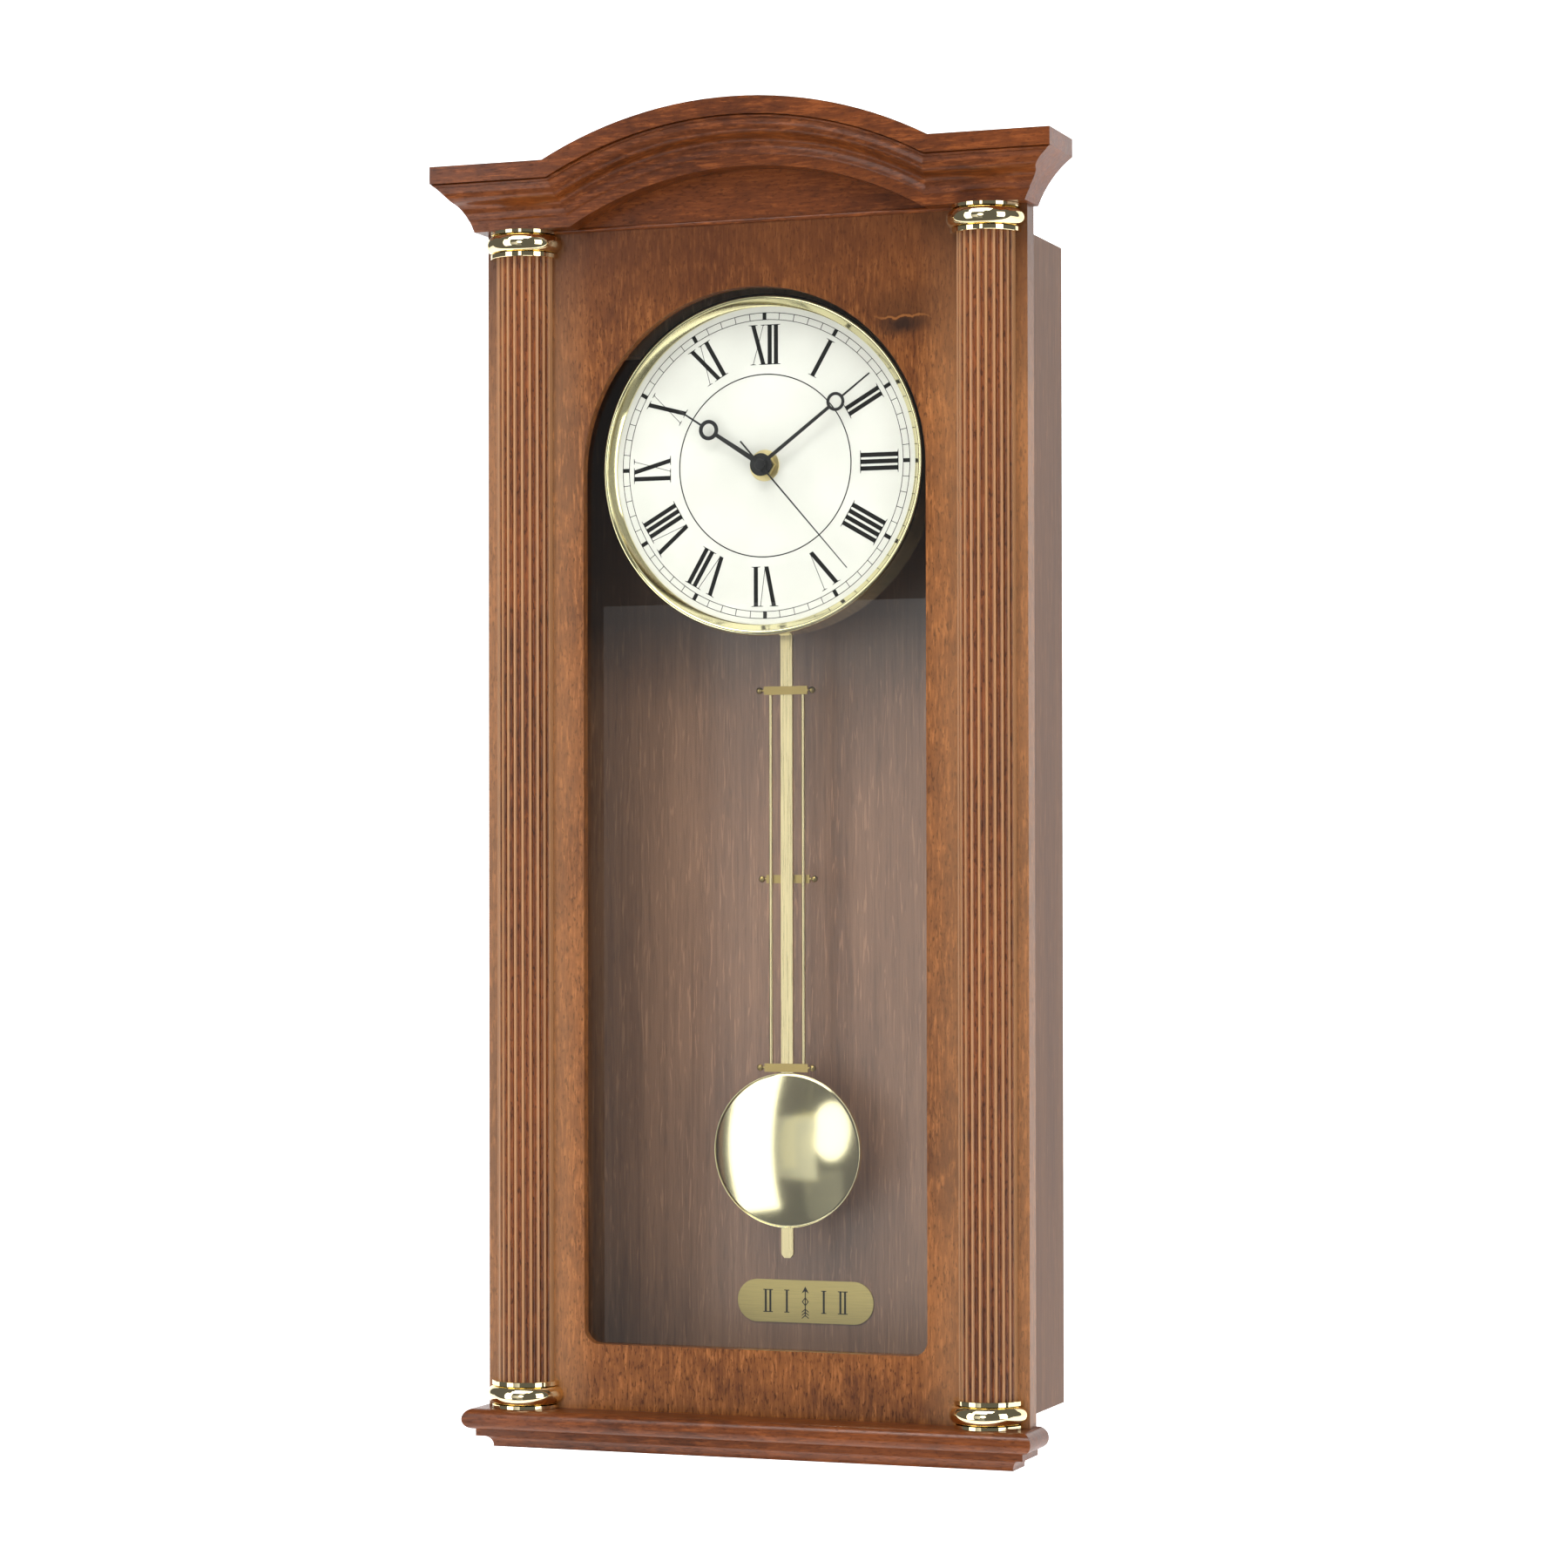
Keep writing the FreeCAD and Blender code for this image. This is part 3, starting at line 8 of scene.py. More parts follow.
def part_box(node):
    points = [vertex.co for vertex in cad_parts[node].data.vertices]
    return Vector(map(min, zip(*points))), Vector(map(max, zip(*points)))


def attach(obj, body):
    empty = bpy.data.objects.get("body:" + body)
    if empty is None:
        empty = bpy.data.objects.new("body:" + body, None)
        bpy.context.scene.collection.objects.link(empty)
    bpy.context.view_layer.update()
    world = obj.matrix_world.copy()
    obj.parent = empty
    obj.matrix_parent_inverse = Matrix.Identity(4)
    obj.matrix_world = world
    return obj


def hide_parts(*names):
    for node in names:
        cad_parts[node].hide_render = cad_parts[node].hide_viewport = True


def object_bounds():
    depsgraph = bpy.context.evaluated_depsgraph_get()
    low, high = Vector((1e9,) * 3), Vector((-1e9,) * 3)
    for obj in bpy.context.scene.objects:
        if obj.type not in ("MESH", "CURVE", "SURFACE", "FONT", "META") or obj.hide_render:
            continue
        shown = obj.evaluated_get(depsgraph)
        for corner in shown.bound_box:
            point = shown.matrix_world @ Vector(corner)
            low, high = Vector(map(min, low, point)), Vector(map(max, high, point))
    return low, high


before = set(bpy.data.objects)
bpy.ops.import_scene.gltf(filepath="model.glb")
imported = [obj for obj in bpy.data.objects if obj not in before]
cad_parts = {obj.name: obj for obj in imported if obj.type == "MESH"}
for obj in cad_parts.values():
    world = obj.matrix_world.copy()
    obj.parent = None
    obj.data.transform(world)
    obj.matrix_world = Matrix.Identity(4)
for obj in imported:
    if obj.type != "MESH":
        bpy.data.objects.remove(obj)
CAD_LOW, CAD_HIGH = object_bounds()

bl_info = {
    "name": "Pendulum Wall Clock",
    "version": (1, 0, 0),
    "blender": (4, 5, 0),
    "location": "View3D > Sidebar > Wall Clock",
    "description": "Finishes a glazed pendulum wall clock and sets up its studio",
    "category": "Object",
}

MM = 0.001
WHITE = (1.0, 1.0, 1.0)

# Places read from the frame
DIAL_LOW, DIAL_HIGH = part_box("dial_face")
DIAL_CENTRE = (DIAL_LOW + DIAL_HIGH) / 2
DIAL_SURFACE = DIAL_LOW.y
BEZEL_LOW, BEZEL_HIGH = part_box("dial_bezel")
PANEL_LOW, PANEL_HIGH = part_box("door_panel")
PLATE_LOW, PLATE_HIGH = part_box("beat_plate")
BOB_LOW, BOB_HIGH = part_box("bob_front_shell")
ROD_LOW, ROD_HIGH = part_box("pendulum_rod")
COLUMN_LOW, COLUMN_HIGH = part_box("right_column")
COLUMN_X = (COLUMN_LOW.x + COLUMN_HIGH.x) / 2
COLUMN_RADIUS = (COLUMN_HIGH.x - COLUMN_LOW.x) / 2
INNER_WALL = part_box("right_side_panel")[0].x
INNER_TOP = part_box("case_top_board")[0].z
INNER_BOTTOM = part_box("case_bottom_board")[1].z
DIAL_SPOT = (DIAL_CENTRE.x, DIAL_CENTRE.z)
DIAL_AXIS = Vector((DIAL_CENTRE.x, 0, DIAL_CENTRE.z))

# A small knot in the door's head
KNOT_X = 75 * MM
KNOT_Z = PANEL_HIGH.z - 53 * MM

# Where the hands rest, in degrees clockwise from 12
HOUR_REST, MINUTE_REST, SECOND_REST = 303, 53, 139

# The Mix node's colour sockets, whose names it uses more than once
FIRST_COLOUR, SECOND_COLOUR, MIXED_COLOUR = 6, 7, 2


# ---------------------------------------------------------------- settings

def length_setting(name, description, default):
    return bpy.props.FloatProperty(name=name, description=description, default=default, unit="LENGTH")


def angle_setting(name, description, degrees):
    return bpy.props.FloatProperty(
        name=name, description=description, default=math.radians(degrees), subtype="ANGLE")


def colour_setting(name, description, default):
    return bpy.props.FloatVectorProperty(
        name=name, description=description, default=default, size=3, subtype="COLOR", min=0, max=1)


class DialSettings(bpy.types.PropertyGroup):
    track_outer: length_setting("Track outside", "Outer radius of the minute track", 73.0 * MM)
    track_inner: length_setting("Track inside", "Inner radius of the minute track", 69.7 * MM)
    numeral_outer: length_setting("Numeral tops", "Radius of the tops of the numerals", 67.3 * MM)
    numeral_inner: length_setting("Numeral feet", "Radius of the feet of the numerals", 48.2 * MM)
    ring_radius: length_setting("Inner ring", "Radius of the thin ring inside the numerals", 43.6 * MM)
    line_width: length_setting("Line width", "Width of the thin printed lines", 0.3 * MM)
    stroke_width: length_setting("Stroke width", "Width of the thick strokes of the numerals", 2.1 * MM)
    paint: colour_setting("Dial paint", "Colour of the dial", (0.76, 0.752, 0.685))
    ink: colour_setting("Ink", "Colour of the printing", (0.008, 0.0075, 0.007))


class HandSettings(bpy.types.PropertyGroup):
    thickness: length_setting("Thickness", "Thickness of the hands", 0.45 * MM)
    ring_outer: length_setting("Ring outside", "Outer radius of the ring on a hand", 4.5 * MM)
    ring_hole: length_setting("Ring hole", "Radius of the hole in that ring", 3.05 * MM)
    colour: colour_setting("Hand paint", "Colour of the hands", (0.014, 0.014, 0.014))


class WoodSettings(bpy.types.PropertyGroup):
    door_light: colour_setting("Door light", "Light tone of the door's veneer", (0.258, 0.086, 0.0176))
    door_dark: colour_setting("Door dark", "Dark tone of the door's veneer", (0.086, 0.0245, 0.0048))
    moulding_light: colour_setting("Moulding light", "Light tone of the mouldings", (0.165, 0.041, 0.0065))
    moulding_dark: colour_setting("Moulding dark", "Dark tone of the mouldings", (0.055, 0.0125, 0.002))
    case_light: colour_setting("Case light", "Light tone of the case's foil", (0.165, 0.072, 0.030))
    case_dark: colour_setting("Case dark", "Dark tone of the case's foil", (0.100, 0.040, 0.016))
    back_light: colour_setting("Back light", "Light streaks of the back panel", (0.33, 0.17, 0.092))
    back_dark: colour_setting("Back dark", "Ground tone of the back panel", (0.13, 0.054, 0.023))


class MetalSettings(bpy.types.PropertyGroup):
    gold: colour_setting("Gold plate", "Colour of the turned rings", (0.98, 0.85, 0.52))
    brass: colour_setting("Dial brass", "Colour of the bezel and drum", (0.90, 0.83, 0.50))
    pale: colour_setting("Pale brass", "Colour of the bob", (0.93, 0.85, 0.52))
    satin: colour_setting("Satin brass", "Colour of the rod and its bars", (0.93, 0.79, 0.44))


class StudioSettings(bpy.types.PropertyGroup):
    azimuth: angle_setting("Azimuth", "Angle of the camera to the right of straight ahead", 20.147)
    pitch: angle_setting("Pitch", "Angle of the camera above level", 0.46)
    roll: angle_setting("Roll", "Tilt of the camera about its view", -0.102)
    camera_right: length_setting("Camera right", "Camera's distance right of the middle", 0.69268)
    camera_front: length_setting("Camera front", "Camera's distance in front of the wall", 1.9208)
    camera_below: length_setting("Camera below", "Camera's drop below the hanging hole", 0.2773)
    lens: bpy.props.FloatProperty(
        name="Lens", description="Focal length on a 36 mm sensor", default=95.66, unit="CAMERA")
    shift: bpy.props.FloatProperty(
        name="Shift", description="Upward shift of the frame", default=0.0418)
    floor_gap: length_setting("Floor gap", "Space between the clock and the floor", 0.06)


# ---------------------------------------------------------------- shading

class Value:
    """A number that varies over a surface: an output socket that can be used in arithmetic."""

    def __init__(self, paint, socket):
        self.paint = paint
        self.socket = socket

    def _with(self, operation, first, second):
        return self.paint.add("ShaderNodeMath", {"operation": operation}, {0: first, 1: second})

    def __add__(self, other):
        return self._with("ADD", self, other)

    def __radd__(self, other):
        return self._with("ADD", other, self)

    def __sub__(self, other):
        return self._with("SUBTRACT", self, other)

    def __rsub__(self, other):
        return self._with("SUBTRACT", other, self)

    def __mul__(self, other):
        return self._with("MULTIPLY", self, other)

    def __rmul__(self, other):
        return self._with("MULTIPLY", other, self)

    def __pow__(self, other):
        return self._with("POWER", self, other)

    def __abs__(self):
        return self.paint.add("ShaderNodeMath", {"operation": "ABSOLUTE"}, {0: self})


class Paint:
    """One material and the nodes that make it."""

    def __init__(self, name):
        self.material = bpy.data.materials.new(name)
        self.material.use_nodes = True
        self.tree = self.material.node_tree
        self.tree.nodes.clear()
        self.output = self.tree.nodes.new("ShaderNodeOutputMaterial")

    def add(self, kind, settings=None, sockets=None, out=0):
        """Adds a node, sets its settings and then its sockets, and returns one of its outputs."""
        node = self.tree.nodes.new(kind)
        for name, value in (settings or {}).items():
            setattr(node, name, value)
        for name, value in (sockets or {}).items():
            if isinstance(value, Value):
                self.tree.links.new(value.socket, node.inputs[name])
            else:
                node.inputs[name].default_value = value
        return Value(self, node.outputs[out])

    def place(self):
        """The place on the object, in metres."""
        return self.add("ShaderNodeTexCoord", out="Object")

    def coordinate(self, axis):
        """The place along X, Y or Z, in metres."""
        return self.add("ShaderNodeSeparateXYZ", {}, {"Vector": self.place()}, out=axis)

    def noise(self, scale, detail=2.0, roughness=0.5, distortion=0.0, offset=(0, 0, 0)):
        """Noise over the object, with one scale or a scale for each axis."""
        scale = (scale,) * 3 if isinstance(scale, float) else scale
        point = self.add("ShaderNodeMapping", {}, {
            "Vector": self.place(), "Location": offset, "Scale": scale})
        return self.add("ShaderNodeTexNoise", {}, {
            "Vector": point, "Scale": 1.0, "Detail": detail, "Roughness": roughness,
            "Distortion": distortion})

    def grey(self, value, low, high):
        """value spread so that low becomes 0 and high becomes 1."""
        return self.add("ShaderNodeMapRange", {"clamp": True}, {
            "Value": value, "From Min": low, "From Max": high})

    def mix(self, factor, first, second):
        """Runs from the first colour to the second as factor goes from 0 to 1."""
        first = (*first, 1.0) if isinstance(first, tuple) else first
        second = (*second, 1.0) if isinstance(second, tuple) else second
        return self.add("ShaderNodeMix", {"data_type": "RGBA"}, {
            "Factor": factor, FIRST_COLOUR: first, SECOND_COLOUR: second}, out=MIXED_COLOUR)

    def bump(self, height, distance, strength):
        return self.add("ShaderNodeBump", {}, {
            "Height": height, "Distance": distance, "Strength": strength})

    def surface(self, **sockets):
        """The main shader; underscores in names stand for spaces."""
        named = {name.replace("_", " "): value for name, value in sockets.items()}
        for name in ("Base Color", "Emission Color"):
            if isinstance(named.get(name), tuple):
                named[name] = (*named[name][:3], 1.0)
        return self.add("ShaderNodeBsdfPrincipled", {}, named)

    def done(self, shader):
        self.tree.links.new(shader.socket, self.output.inputs["Surface"])
        return self.material


def colour(value):
    return tuple(value)[:3]


def shaded(base, factor):
    """A colour made darker or paler."""
    return tuple(min(1.0, part * factor) for part in base)


def oval(across, up, wide, tall):
    """The distance from the middle of an oval."""
    across, up = across * wide, up * tall
    return (across * across + up * up) ** 0.5


def along_axis(axis, across, along):
    """Noise scales for grain that runs along X or Z."""
    return (along, across, across) if axis == "X" else (across, across, along)


def lacquered_wood(name, light, dark, axis, roughness=0.36, seed=0.0, marks=None, flecked=0.75):
    """Stained, lacquered wood: soft mottling, fine fibres and short pores along one axis."""
    paint = Paint(name)

    def noise(across, along, detail, shift=0.0):
        offset = (seed + shift, seed, seed)
        return paint.noise(along_axis(axis, across, along), detail, 0.6, 0.25, offset)

    clouds = noise(17.0, 10.0, 4.0)
    mottle = noise(150.0, 95.0, 5.0, 2.0)
    fibres = noise(820.0, 95.0, 3.0, 4.0)
    flecks = noise(1050.0, 300.0, 2.0, 6.0)
    tone = paint.grey(clouds * 0.46 + mottle * 0.22 + fibres * 0.32, 0.39, 0.61)
    ground = paint.mix(tone, dark, light)
    bright = tuple(min(1.0, c * f) for c, f in zip(light, (1.45, 1.6, 2.2)))
    ground = paint.mix(paint.grey(mottle * 0.3 + fibres * 0.7, 0.53, 0.66) * 0.55, ground, bright)
    pores = paint.grey(flecks, 0.55, 0.66)
    ground = paint.mix(pores * flecked, ground, shaded(dark, 0.45))
    if marks:
        ground = marks(paint, ground)
    height = fibres * 0.4 + pores * -0.9
    rough = paint.grey(mottle, 0.3, 0.7) * 0.1 + roughness
    normal = paint.bump(height, 0.00008, 0.35)
    return paint.done(paint.surface(
        Base_Color=ground, Roughness=rough, Normal=normal, Specular_IOR_Level=0.12,
        Coat_Weight=0.45 - pores * 0.25, Coat_Roughness=0.13))


def door_knot_and_painted_light(paint, ground):
    """Painted light on the veneer: paler stiles and a darker head, shaded by the cornice; and a small knot
    with a pale split over it above the window.
    """
    across = paint.coordinate("X")
    up = paint.coordinate("Z")
    drift = paint.noise((60.0, 60.0, 14.0), 3.0) * 0.012
    # Painted light: the stiles are paler.
    stiles = paint.grey(abs(across) + drift, 0.088, 0.106)
    ground = paint.mix(stiles * 0.3, ground, (0.40, 0.21, 0.10))
    # Painted shade: the head under the cornice is darker.
    head = paint.grey(up + drift, KNOT_Z - 0.03, KNOT_Z + 0.045)
    ground = paint.mix(head * 0.75, ground, (0.058, 0.014, 0.002))
    wander = (paint.noise(160.0, 3.0) - 0.5) * 0.006
    right, rise = across - KNOT_X + wander, up - KNOT_Z + wander
    body = oval(right, rise, 62.0, 165.0)
    smudge = oval(right, rise - 0.006, 40.0, 55.0)
    split = oval(right, rise - 0.0035, 60.0, 1100.0)
    ground = paint.mix((1.0 - paint.grey(smudge, 0.2, 1.0)) * 0.55, ground, (0.030, 0.009, 0.002))
    ground = paint.mix((1.0 - paint.grey(body, 0.2, 1.0)) * 0.9, ground, (0.014, 0.005, 0.002))
    return paint.mix((1.0 - paint.grey(split, 0.4, 1.0)) * 0.45, ground, (0.36, 0.13, 0.03))


def painted_ridge_highlights(paint, ground):
    """Painted highlights: paler wood on the ridges between the flutes of either column, where they catch the
    light.
    """
    aside = abs(paint.coordinate("X")) - COLUMN_X
    radius = oval(aside, paint.coordinate("Y") - PANEL_LOW.y, 1.0, 1.0)
    # Painted highlight on the ridges between the flutes.
    ridges = paint.grey(radius, COLUMN_RADIUS - 0.0008, COLUMN_RADIUS - 0.0001)
    return paint.mix(ridges * 0.75, ground, (0.44, 0.235, 0.11))


def foil_wood(name, light, dark, contrast, roughness, streak_scale=160.0, pressed=0.3, gloss=0.5,
              marks=None):
    """Printed wood foil with upright grain and pressed pores, with a painted highlight on the raised ones
    where they catch the light and darker colour on the sunk ones.
    """
    paint = Paint(name)
    fine = paint.noise((streak_scale * 3.2, streak_scale * 3.2, 12.0), 3.0, 0.6, 0.4)
    wide = paint.noise((streak_scale * 0.45, streak_scale * 0.45, 3.0), 4.0, 0.6, 0.5)
    cloud = paint.noise((14.0, 14.0, 3.0))
    tone = paint.grey(fine * 0.35 + wide * 0.45 + cloud * 0.2, 0.5 - contrast, 0.5 + contrast)
    ground = paint.mix(tone, dark, light)
    slits = paint.noise((streak_scale * 5.0, streak_scale * 5.0, 55.0), 2.0, 0.5, 0.8)
    # Painted highlight on the raised slits; darker colour on the sunk ones.
    lit = paint.grey(slits, 0.60, 0.67)
    sunk = paint.grey(slits, 0.42, 0.34)
    ground = paint.mix(lit * pressed, ground, shaded(light, 1.9))
    ground = paint.mix(sunk * pressed, ground, shaded(dark, 0.6))
    if marks:
        ground = marks(paint, ground)
    normal = paint.bump(slits, 0.0001, pressed)
    return paint.done(paint.surface(
        Base_Color=ground, Roughness=roughness, Normal=normal, Specular_IOR_Level=gloss))


def painted_shade_inside(paint, ground):
    """The case's inner walls, painted nearly black as the shade inside the case."""
    up = paint.coordinate("Z")
    inside = 1.0 - paint.grey(abs(paint.coordinate("X")), INNER_WALL + 0.0006, INNER_WALL + 0.0012)
    front = paint.grey(paint.coordinate("Y"), PANEL_HIGH.y + 0.0015, PANEL_HIGH.y + 0.0025)
    under = 1.0 - paint.grey(up, INNER_TOP + 0.0004, INNER_TOP + 0.0010)
    over = paint.grey(up, INNER_BOTTOM - 0.0010, INNER_BOTTOM - 0.0004)
    # Painted shade: the inner walls are mixed to near black.
    return paint.mix(inside * front * under * over, ground, (0.014, 0.011, 0.009))


def painted_shadow_behind_dial(paint, ground):
    """The back panel's head, with painted shadow where the drum hides it."""
    head = paint.grey(paint.coordinate("Z"), DIAL_LOW.z - 0.035, DIAL_LOW.z + 0.01)
    # Painted shadow of the drum on the panel's head.
    return paint.mix(head * 0.8, ground, (0.022, 0.013, 0.009))


def polished(name, base, roughness=0.04, wear=0.02, tarnish=0.1):
    """Polished or plated metal with faint polishing marks and a little tarnish."""
    paint = Paint(name)
    cloud = paint.noise(60.0, 3.0, 0.6)
    scratch = paint.noise(900.0)
    rough = paint.grey(scratch, 0.35, 0.75) * wear + paint.grey(cloud, 0.4, 0.8) * wear + roughness
    ground = paint.mix(paint.grey(cloud, 0.52, 0.75) * tarnish, base, shaded(base, 0.72))
    return paint.done(paint.surface(Base_Color=ground, Metallic=1.0, Roughness=rough))


def brushed(name, base, along, roughness=0.28):
    """Metal brushed along one axis, with fine bright and dark lines."""
    paint = Paint(name)
    scale = {"X": (40.0, 3000.0, 3000.0), "Z": (3000.0, 3000.0, 40.0)}[along]
    lines = paint.noise(scale, 2.0, 0.6)
    tone = paint.grey(lines, 0.3, 0.7)
    ground = paint.mix(tone, shaded(base, 0.78), base)
    rough = tone * 0.14 + roughness
    normal = paint.bump(lines, 0.00002, 0.25)
    return paint.done(paint.surface(Base_Color=ground, Metallic=1.0, Roughness=rough, Normal=normal))


def matt_coat(name, base, roughness=0.5, texture=900.0, depth=0.00003, metallic=0.0, gloss=0.5):
    """Paint or moulded plastic with a fine even texture."""
    paint = Paint(name)
    grain = paint.noise(texture)
    cloud = paint.noise(30.0)
    ground = paint.mix(paint.grey(cloud, 0.35, 0.7), shaded(base, 0.9), base)
    rough = paint.grey(grain, 0.3, 0.7) * 0.1 + roughness
    normal = paint.bump(grain, depth, 0.3)
    return paint.done(paint.surface(
        Base_Color=ground, Roughness=rough, Metallic=metallic, Normal=normal, Specular_IOR_Level=gloss))


def sheet_glass(name):
    """Clear flat glass: light goes straight through, and only the face towards the eye mirrors."""
    paint = Paint(name)
    mirror = paint.add("ShaderNodeFresnel", {}, {"IOR": 1.78})
    behind = paint.add("ShaderNodeNewGeometry", out="Backfacing")
    share = mirror * (1.0 - behind)
    clear = paint.add("ShaderNodeBsdfTransparent", {}, {"Color": (0.985, 0.992, 0.988, 1.0)})
    gloss = paint.surface(Base_Color=WHITE, Metallic=1.0, Roughness=0.0)
    return paint.done(paint.add("ShaderNodeMixShader", {}, {0: share, 1: clear, 2: gloss}))


def wound_wire(name, base):
    """Fine copper winding, seen as close parallel turns with painted shade between them."""
    paint = Paint(name)
    turns = paint.add("ShaderNodeTexWave", {"wave_type": "BANDS", "bands_direction": "X"},
                      {"Vector": paint.place(), "Scale": 900.0, "Distortion": 0.2})
    # Painted shade: darker bands between the turns.
    ground = paint.mix(turns, shaded(base, 0.45), base)
    return paint.done(paint.surface(
        Base_Color=ground, Metallic=0.7, Roughness=0.35, Normal=paint.bump(turns, 0.00004, 0.6)))


# ---------------------------------------------------------------- mesh helpers

def add_object(data):
    """Puts a mesh, light or camera in the scene under its own name."""
    item = bpy.data.objects.new(data.name, data)
    bpy.context.scene.collection.objects.link(item)
    return item


def new_piece(mesh, body, material, slot, *replaced):
    """Puts a mesh in the scene as a piece that rides on a body."""
    mesh.materials.append(material)
    piece = add_object(mesh)
    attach(piece, body)
    if replaced:
        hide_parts(*replaced)
    return piece


def finish_mesh(bm, name, smooth_angle=None):
    bmesh.ops.remove_doubles(bm, verts=bm.verts, dist=1e-7)
    bmesh.ops.recalc_face_normals(bm, faces=bm.faces)
    mesh = bpy.data.meshes.new(name)
    bm.to_mesh(mesh)
    bm.free()
    if smooth_angle is not None:
        mesh.shade_smooth()
        mesh.set_sharp_from_angle(angle=math.radians(smooth_angle))
    return mesh


def bridge(bm, here, there):
    """Joins two closed rings of points by a band of faces."""
    count = len(here)
    for index in range(count):
        after = (index + 1) % count
        bm.faces.new([here[index], here[after], there[after], there[index]])


def lathe(name, profile, centre, axis, segments=160, start=0.0, turn=2 * math.pi, smooth_angle=35):
    """Turns a closed profile of (radius, distance along axis) points about an axis through centre."""
    bm = bmesh.new()
    whole = abs(turn - 2 * math.pi) < 1e-6
    steps = segments if whole else segments + 1
    rings = []
    for step in range(steps):
        angle = start + turn * step / segments
        ring = []
        for radius, along in profile:
            across, up = radius * math.cos(angle), radius * math.sin(angle)
            place = Vector((across, along, up)) if axis == "Y" else Vector((across, up, along))
            ring.append(bm.verts.new(centre + place))
        rings.append(ring)
    for step in range(segments):
        bridge(bm, rings[step], rings[(step + 1) % steps])
    if not whole:
        bm.faces.new(rings[0])
        bm.faces.new(rings[-1])
    return finish_mesh(bm, name, smooth_angle)


def arc_points(centre, radius, start, end, steps):
    """Points on an arc, with angles in degrees counted from the first axis to the second."""
    points = []
    for step in range(steps + 1):
        angle = math.radians(start + (end - start) * step / steps)
        points.append((centre[0] + radius * math.cos(angle), centre[1] + radius * math.sin(angle)))
    return points


def add_slab(bm, outline, front, back, turn, shift):
    """A flat piece of (x, z) points between two depths, turned clockwise and moved."""
    cos, sin = math.cos(turn), math.sin(turn)
    ends = []
    for depth in (front, back):
        verts = []
        for x, z in outline:
            across = x * cos + z * sin + shift[0]
            up = -x * sin + z * cos + shift[1]
            verts.append(bm.verts.new((across, depth, up)))
        ends.append(verts)
    bm.faces.new(ends[0])
    bm.faces.new(list(reversed(ends[1])))
    bridge(bm, ends[1], ends[0])


def add_band(bm, inner, outer, front, back, shift, segments=180):
    """A flat ring between two depths."""
    rings = []
    for radius, depth in ((inner, front), (outer, front), (outer, back), (inner, back)):
        ring = []
        for step in range(segments):
            angle = 2 * math.pi * step / segments
            ring.append(bm.verts.new((shift[0] + radius * math.sin(angle), depth,
                                      shift[1] + radius * math.cos(angle))))
        rings.append(ring)
    for index in range(4):
        bridge(bm, rings[index], rings[(index + 1) % 4])


def rounded(piece, width, segments=2):
    """Rounds a piece's edges."""
    bevel = piece.modifiers.new("Rounding", "BEVEL")
    bevel.width = width
    bevel.segments = segments
    bevel.limit_method = "ANGLE"
    bevel.angle_limit = math.radians(30)
    bevel.harden_normals = False
    return piece


def repaint(node, material):
    """Gives a frame node its finish."""
    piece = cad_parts[node]
    piece.data.materials.clear()
    piece.data.materials.append(material)
    return piece


MATERIALS = {}


def finish(name, make, *arguments, **options):
    """The material of that name, made on first use."""
    if name not in MATERIALS:
        MATERIALS[name] = make(name, *arguments, **options)
    return MATERIALS[name]


def black_plastic():
    return finish("black_plastic", matt_coat, (0.02, 0.02, 0.022))


def dark_magnet():
    return finish("dark_magnet", matt_coat, (0.1, 0.1, 0.105), roughness=0.35, metallic=0.8)


def printing_ink(context):
    shade = colour(context.scene.clock_dial.ink)
    return finish("dial_ink", matt_coat, shade, roughness=0.5, gloss=0.15)


# ---------------------------------------------------------------- numerals

THIN = 0.22 * MM
SERIF_REACH = 1.25 * MM
HAIRLINE, LETTER_GAP = 0.13, 0.52   # shares of a thick stroke
V_SPREAD, X_SPREAD = 0.36, 0.275    # shares of the height


def stroke(start, end, width):
    """A leg of a numeral: level ends, slanted sides."""
    half = width / 2
    return [(start[0] - half, start[1]), (start[0] + half, start[1]),
            (end[0] + half, end[1]), (end[0] - half, end[1])]


def serif(x, z, width, up):
    """A thin foot under, or over, the end of a leg, with small brackets."""
    half = width / 2 + SERIF_REACH
    inward = -up
    return [(x - half, z), (x - half, z + inward * THIN * 0.9), (x - width / 2, z + inward * THIN * 2.0),
            (x + width / 2, z + inward * THIN * 2.0), (x + half, z + inward * THIN * 0.9), (x + half, z)]


def glyph(letter, height, thick):
    """The outlines of one letter with its left edge at 0, and its width."""
    slim = thick * HAIRLINE
    if letter == "I":
        x = thick / 2
        return [stroke((x, 0), (x, height), thick), serif(x, 0, thick, -1), serif(x, height, thick, 1)], thick
    if letter == "V":
        spread = height * V_SPREAD
        left, right, foot = thick / 2, thick / 2 + spread, thick / 2 + spread * 0.56
        shapes = [stroke((foot, 0), (left, height), thick),
                  stroke((foot + thick * 0.3, 0), (right, height), slim),
                  serif(left, height, thick, 1), serif(right, height, slim, 1)]
        return shapes, spread + thick * 0.6
    spread = height * X_SPREAD
    left, right = thick / 2, thick / 2 + spread
    shapes = [stroke((right, 0), (left, height), thick), stroke((left, 0), (right, height), slim),
              serif(right, 0, thick, -1), serif(left, height, thick, 1),
              serif(left, 0, slim, -1), serif(right, height, slim, 1)]
    return shapes, spread + thick


def add_numeral(bm, word, hour, settings, front, back):
    height = settings.numeral_outer - settings.numeral_inner
    thick = settings.stroke_width
    gap = thick * LETTER_GAP
    placed, pen = [], 0.0
    for letter in word:
        shapes, width = glyph(letter, height, thick)
        placed.append((shapes, pen))
        pen += width + gap
    middle = (pen - gap) / 2
    turn = math.radians(30 * hour)
    for shapes, start in placed:
        for outline in shapes:
            moved = [(x + start - middle, z + settings.numeral_inner) for x, z in outline]
            add_slab(bm, moved, front, back, turn, DIAL_SPOT)


# ---------------------------------------------------------------- operators

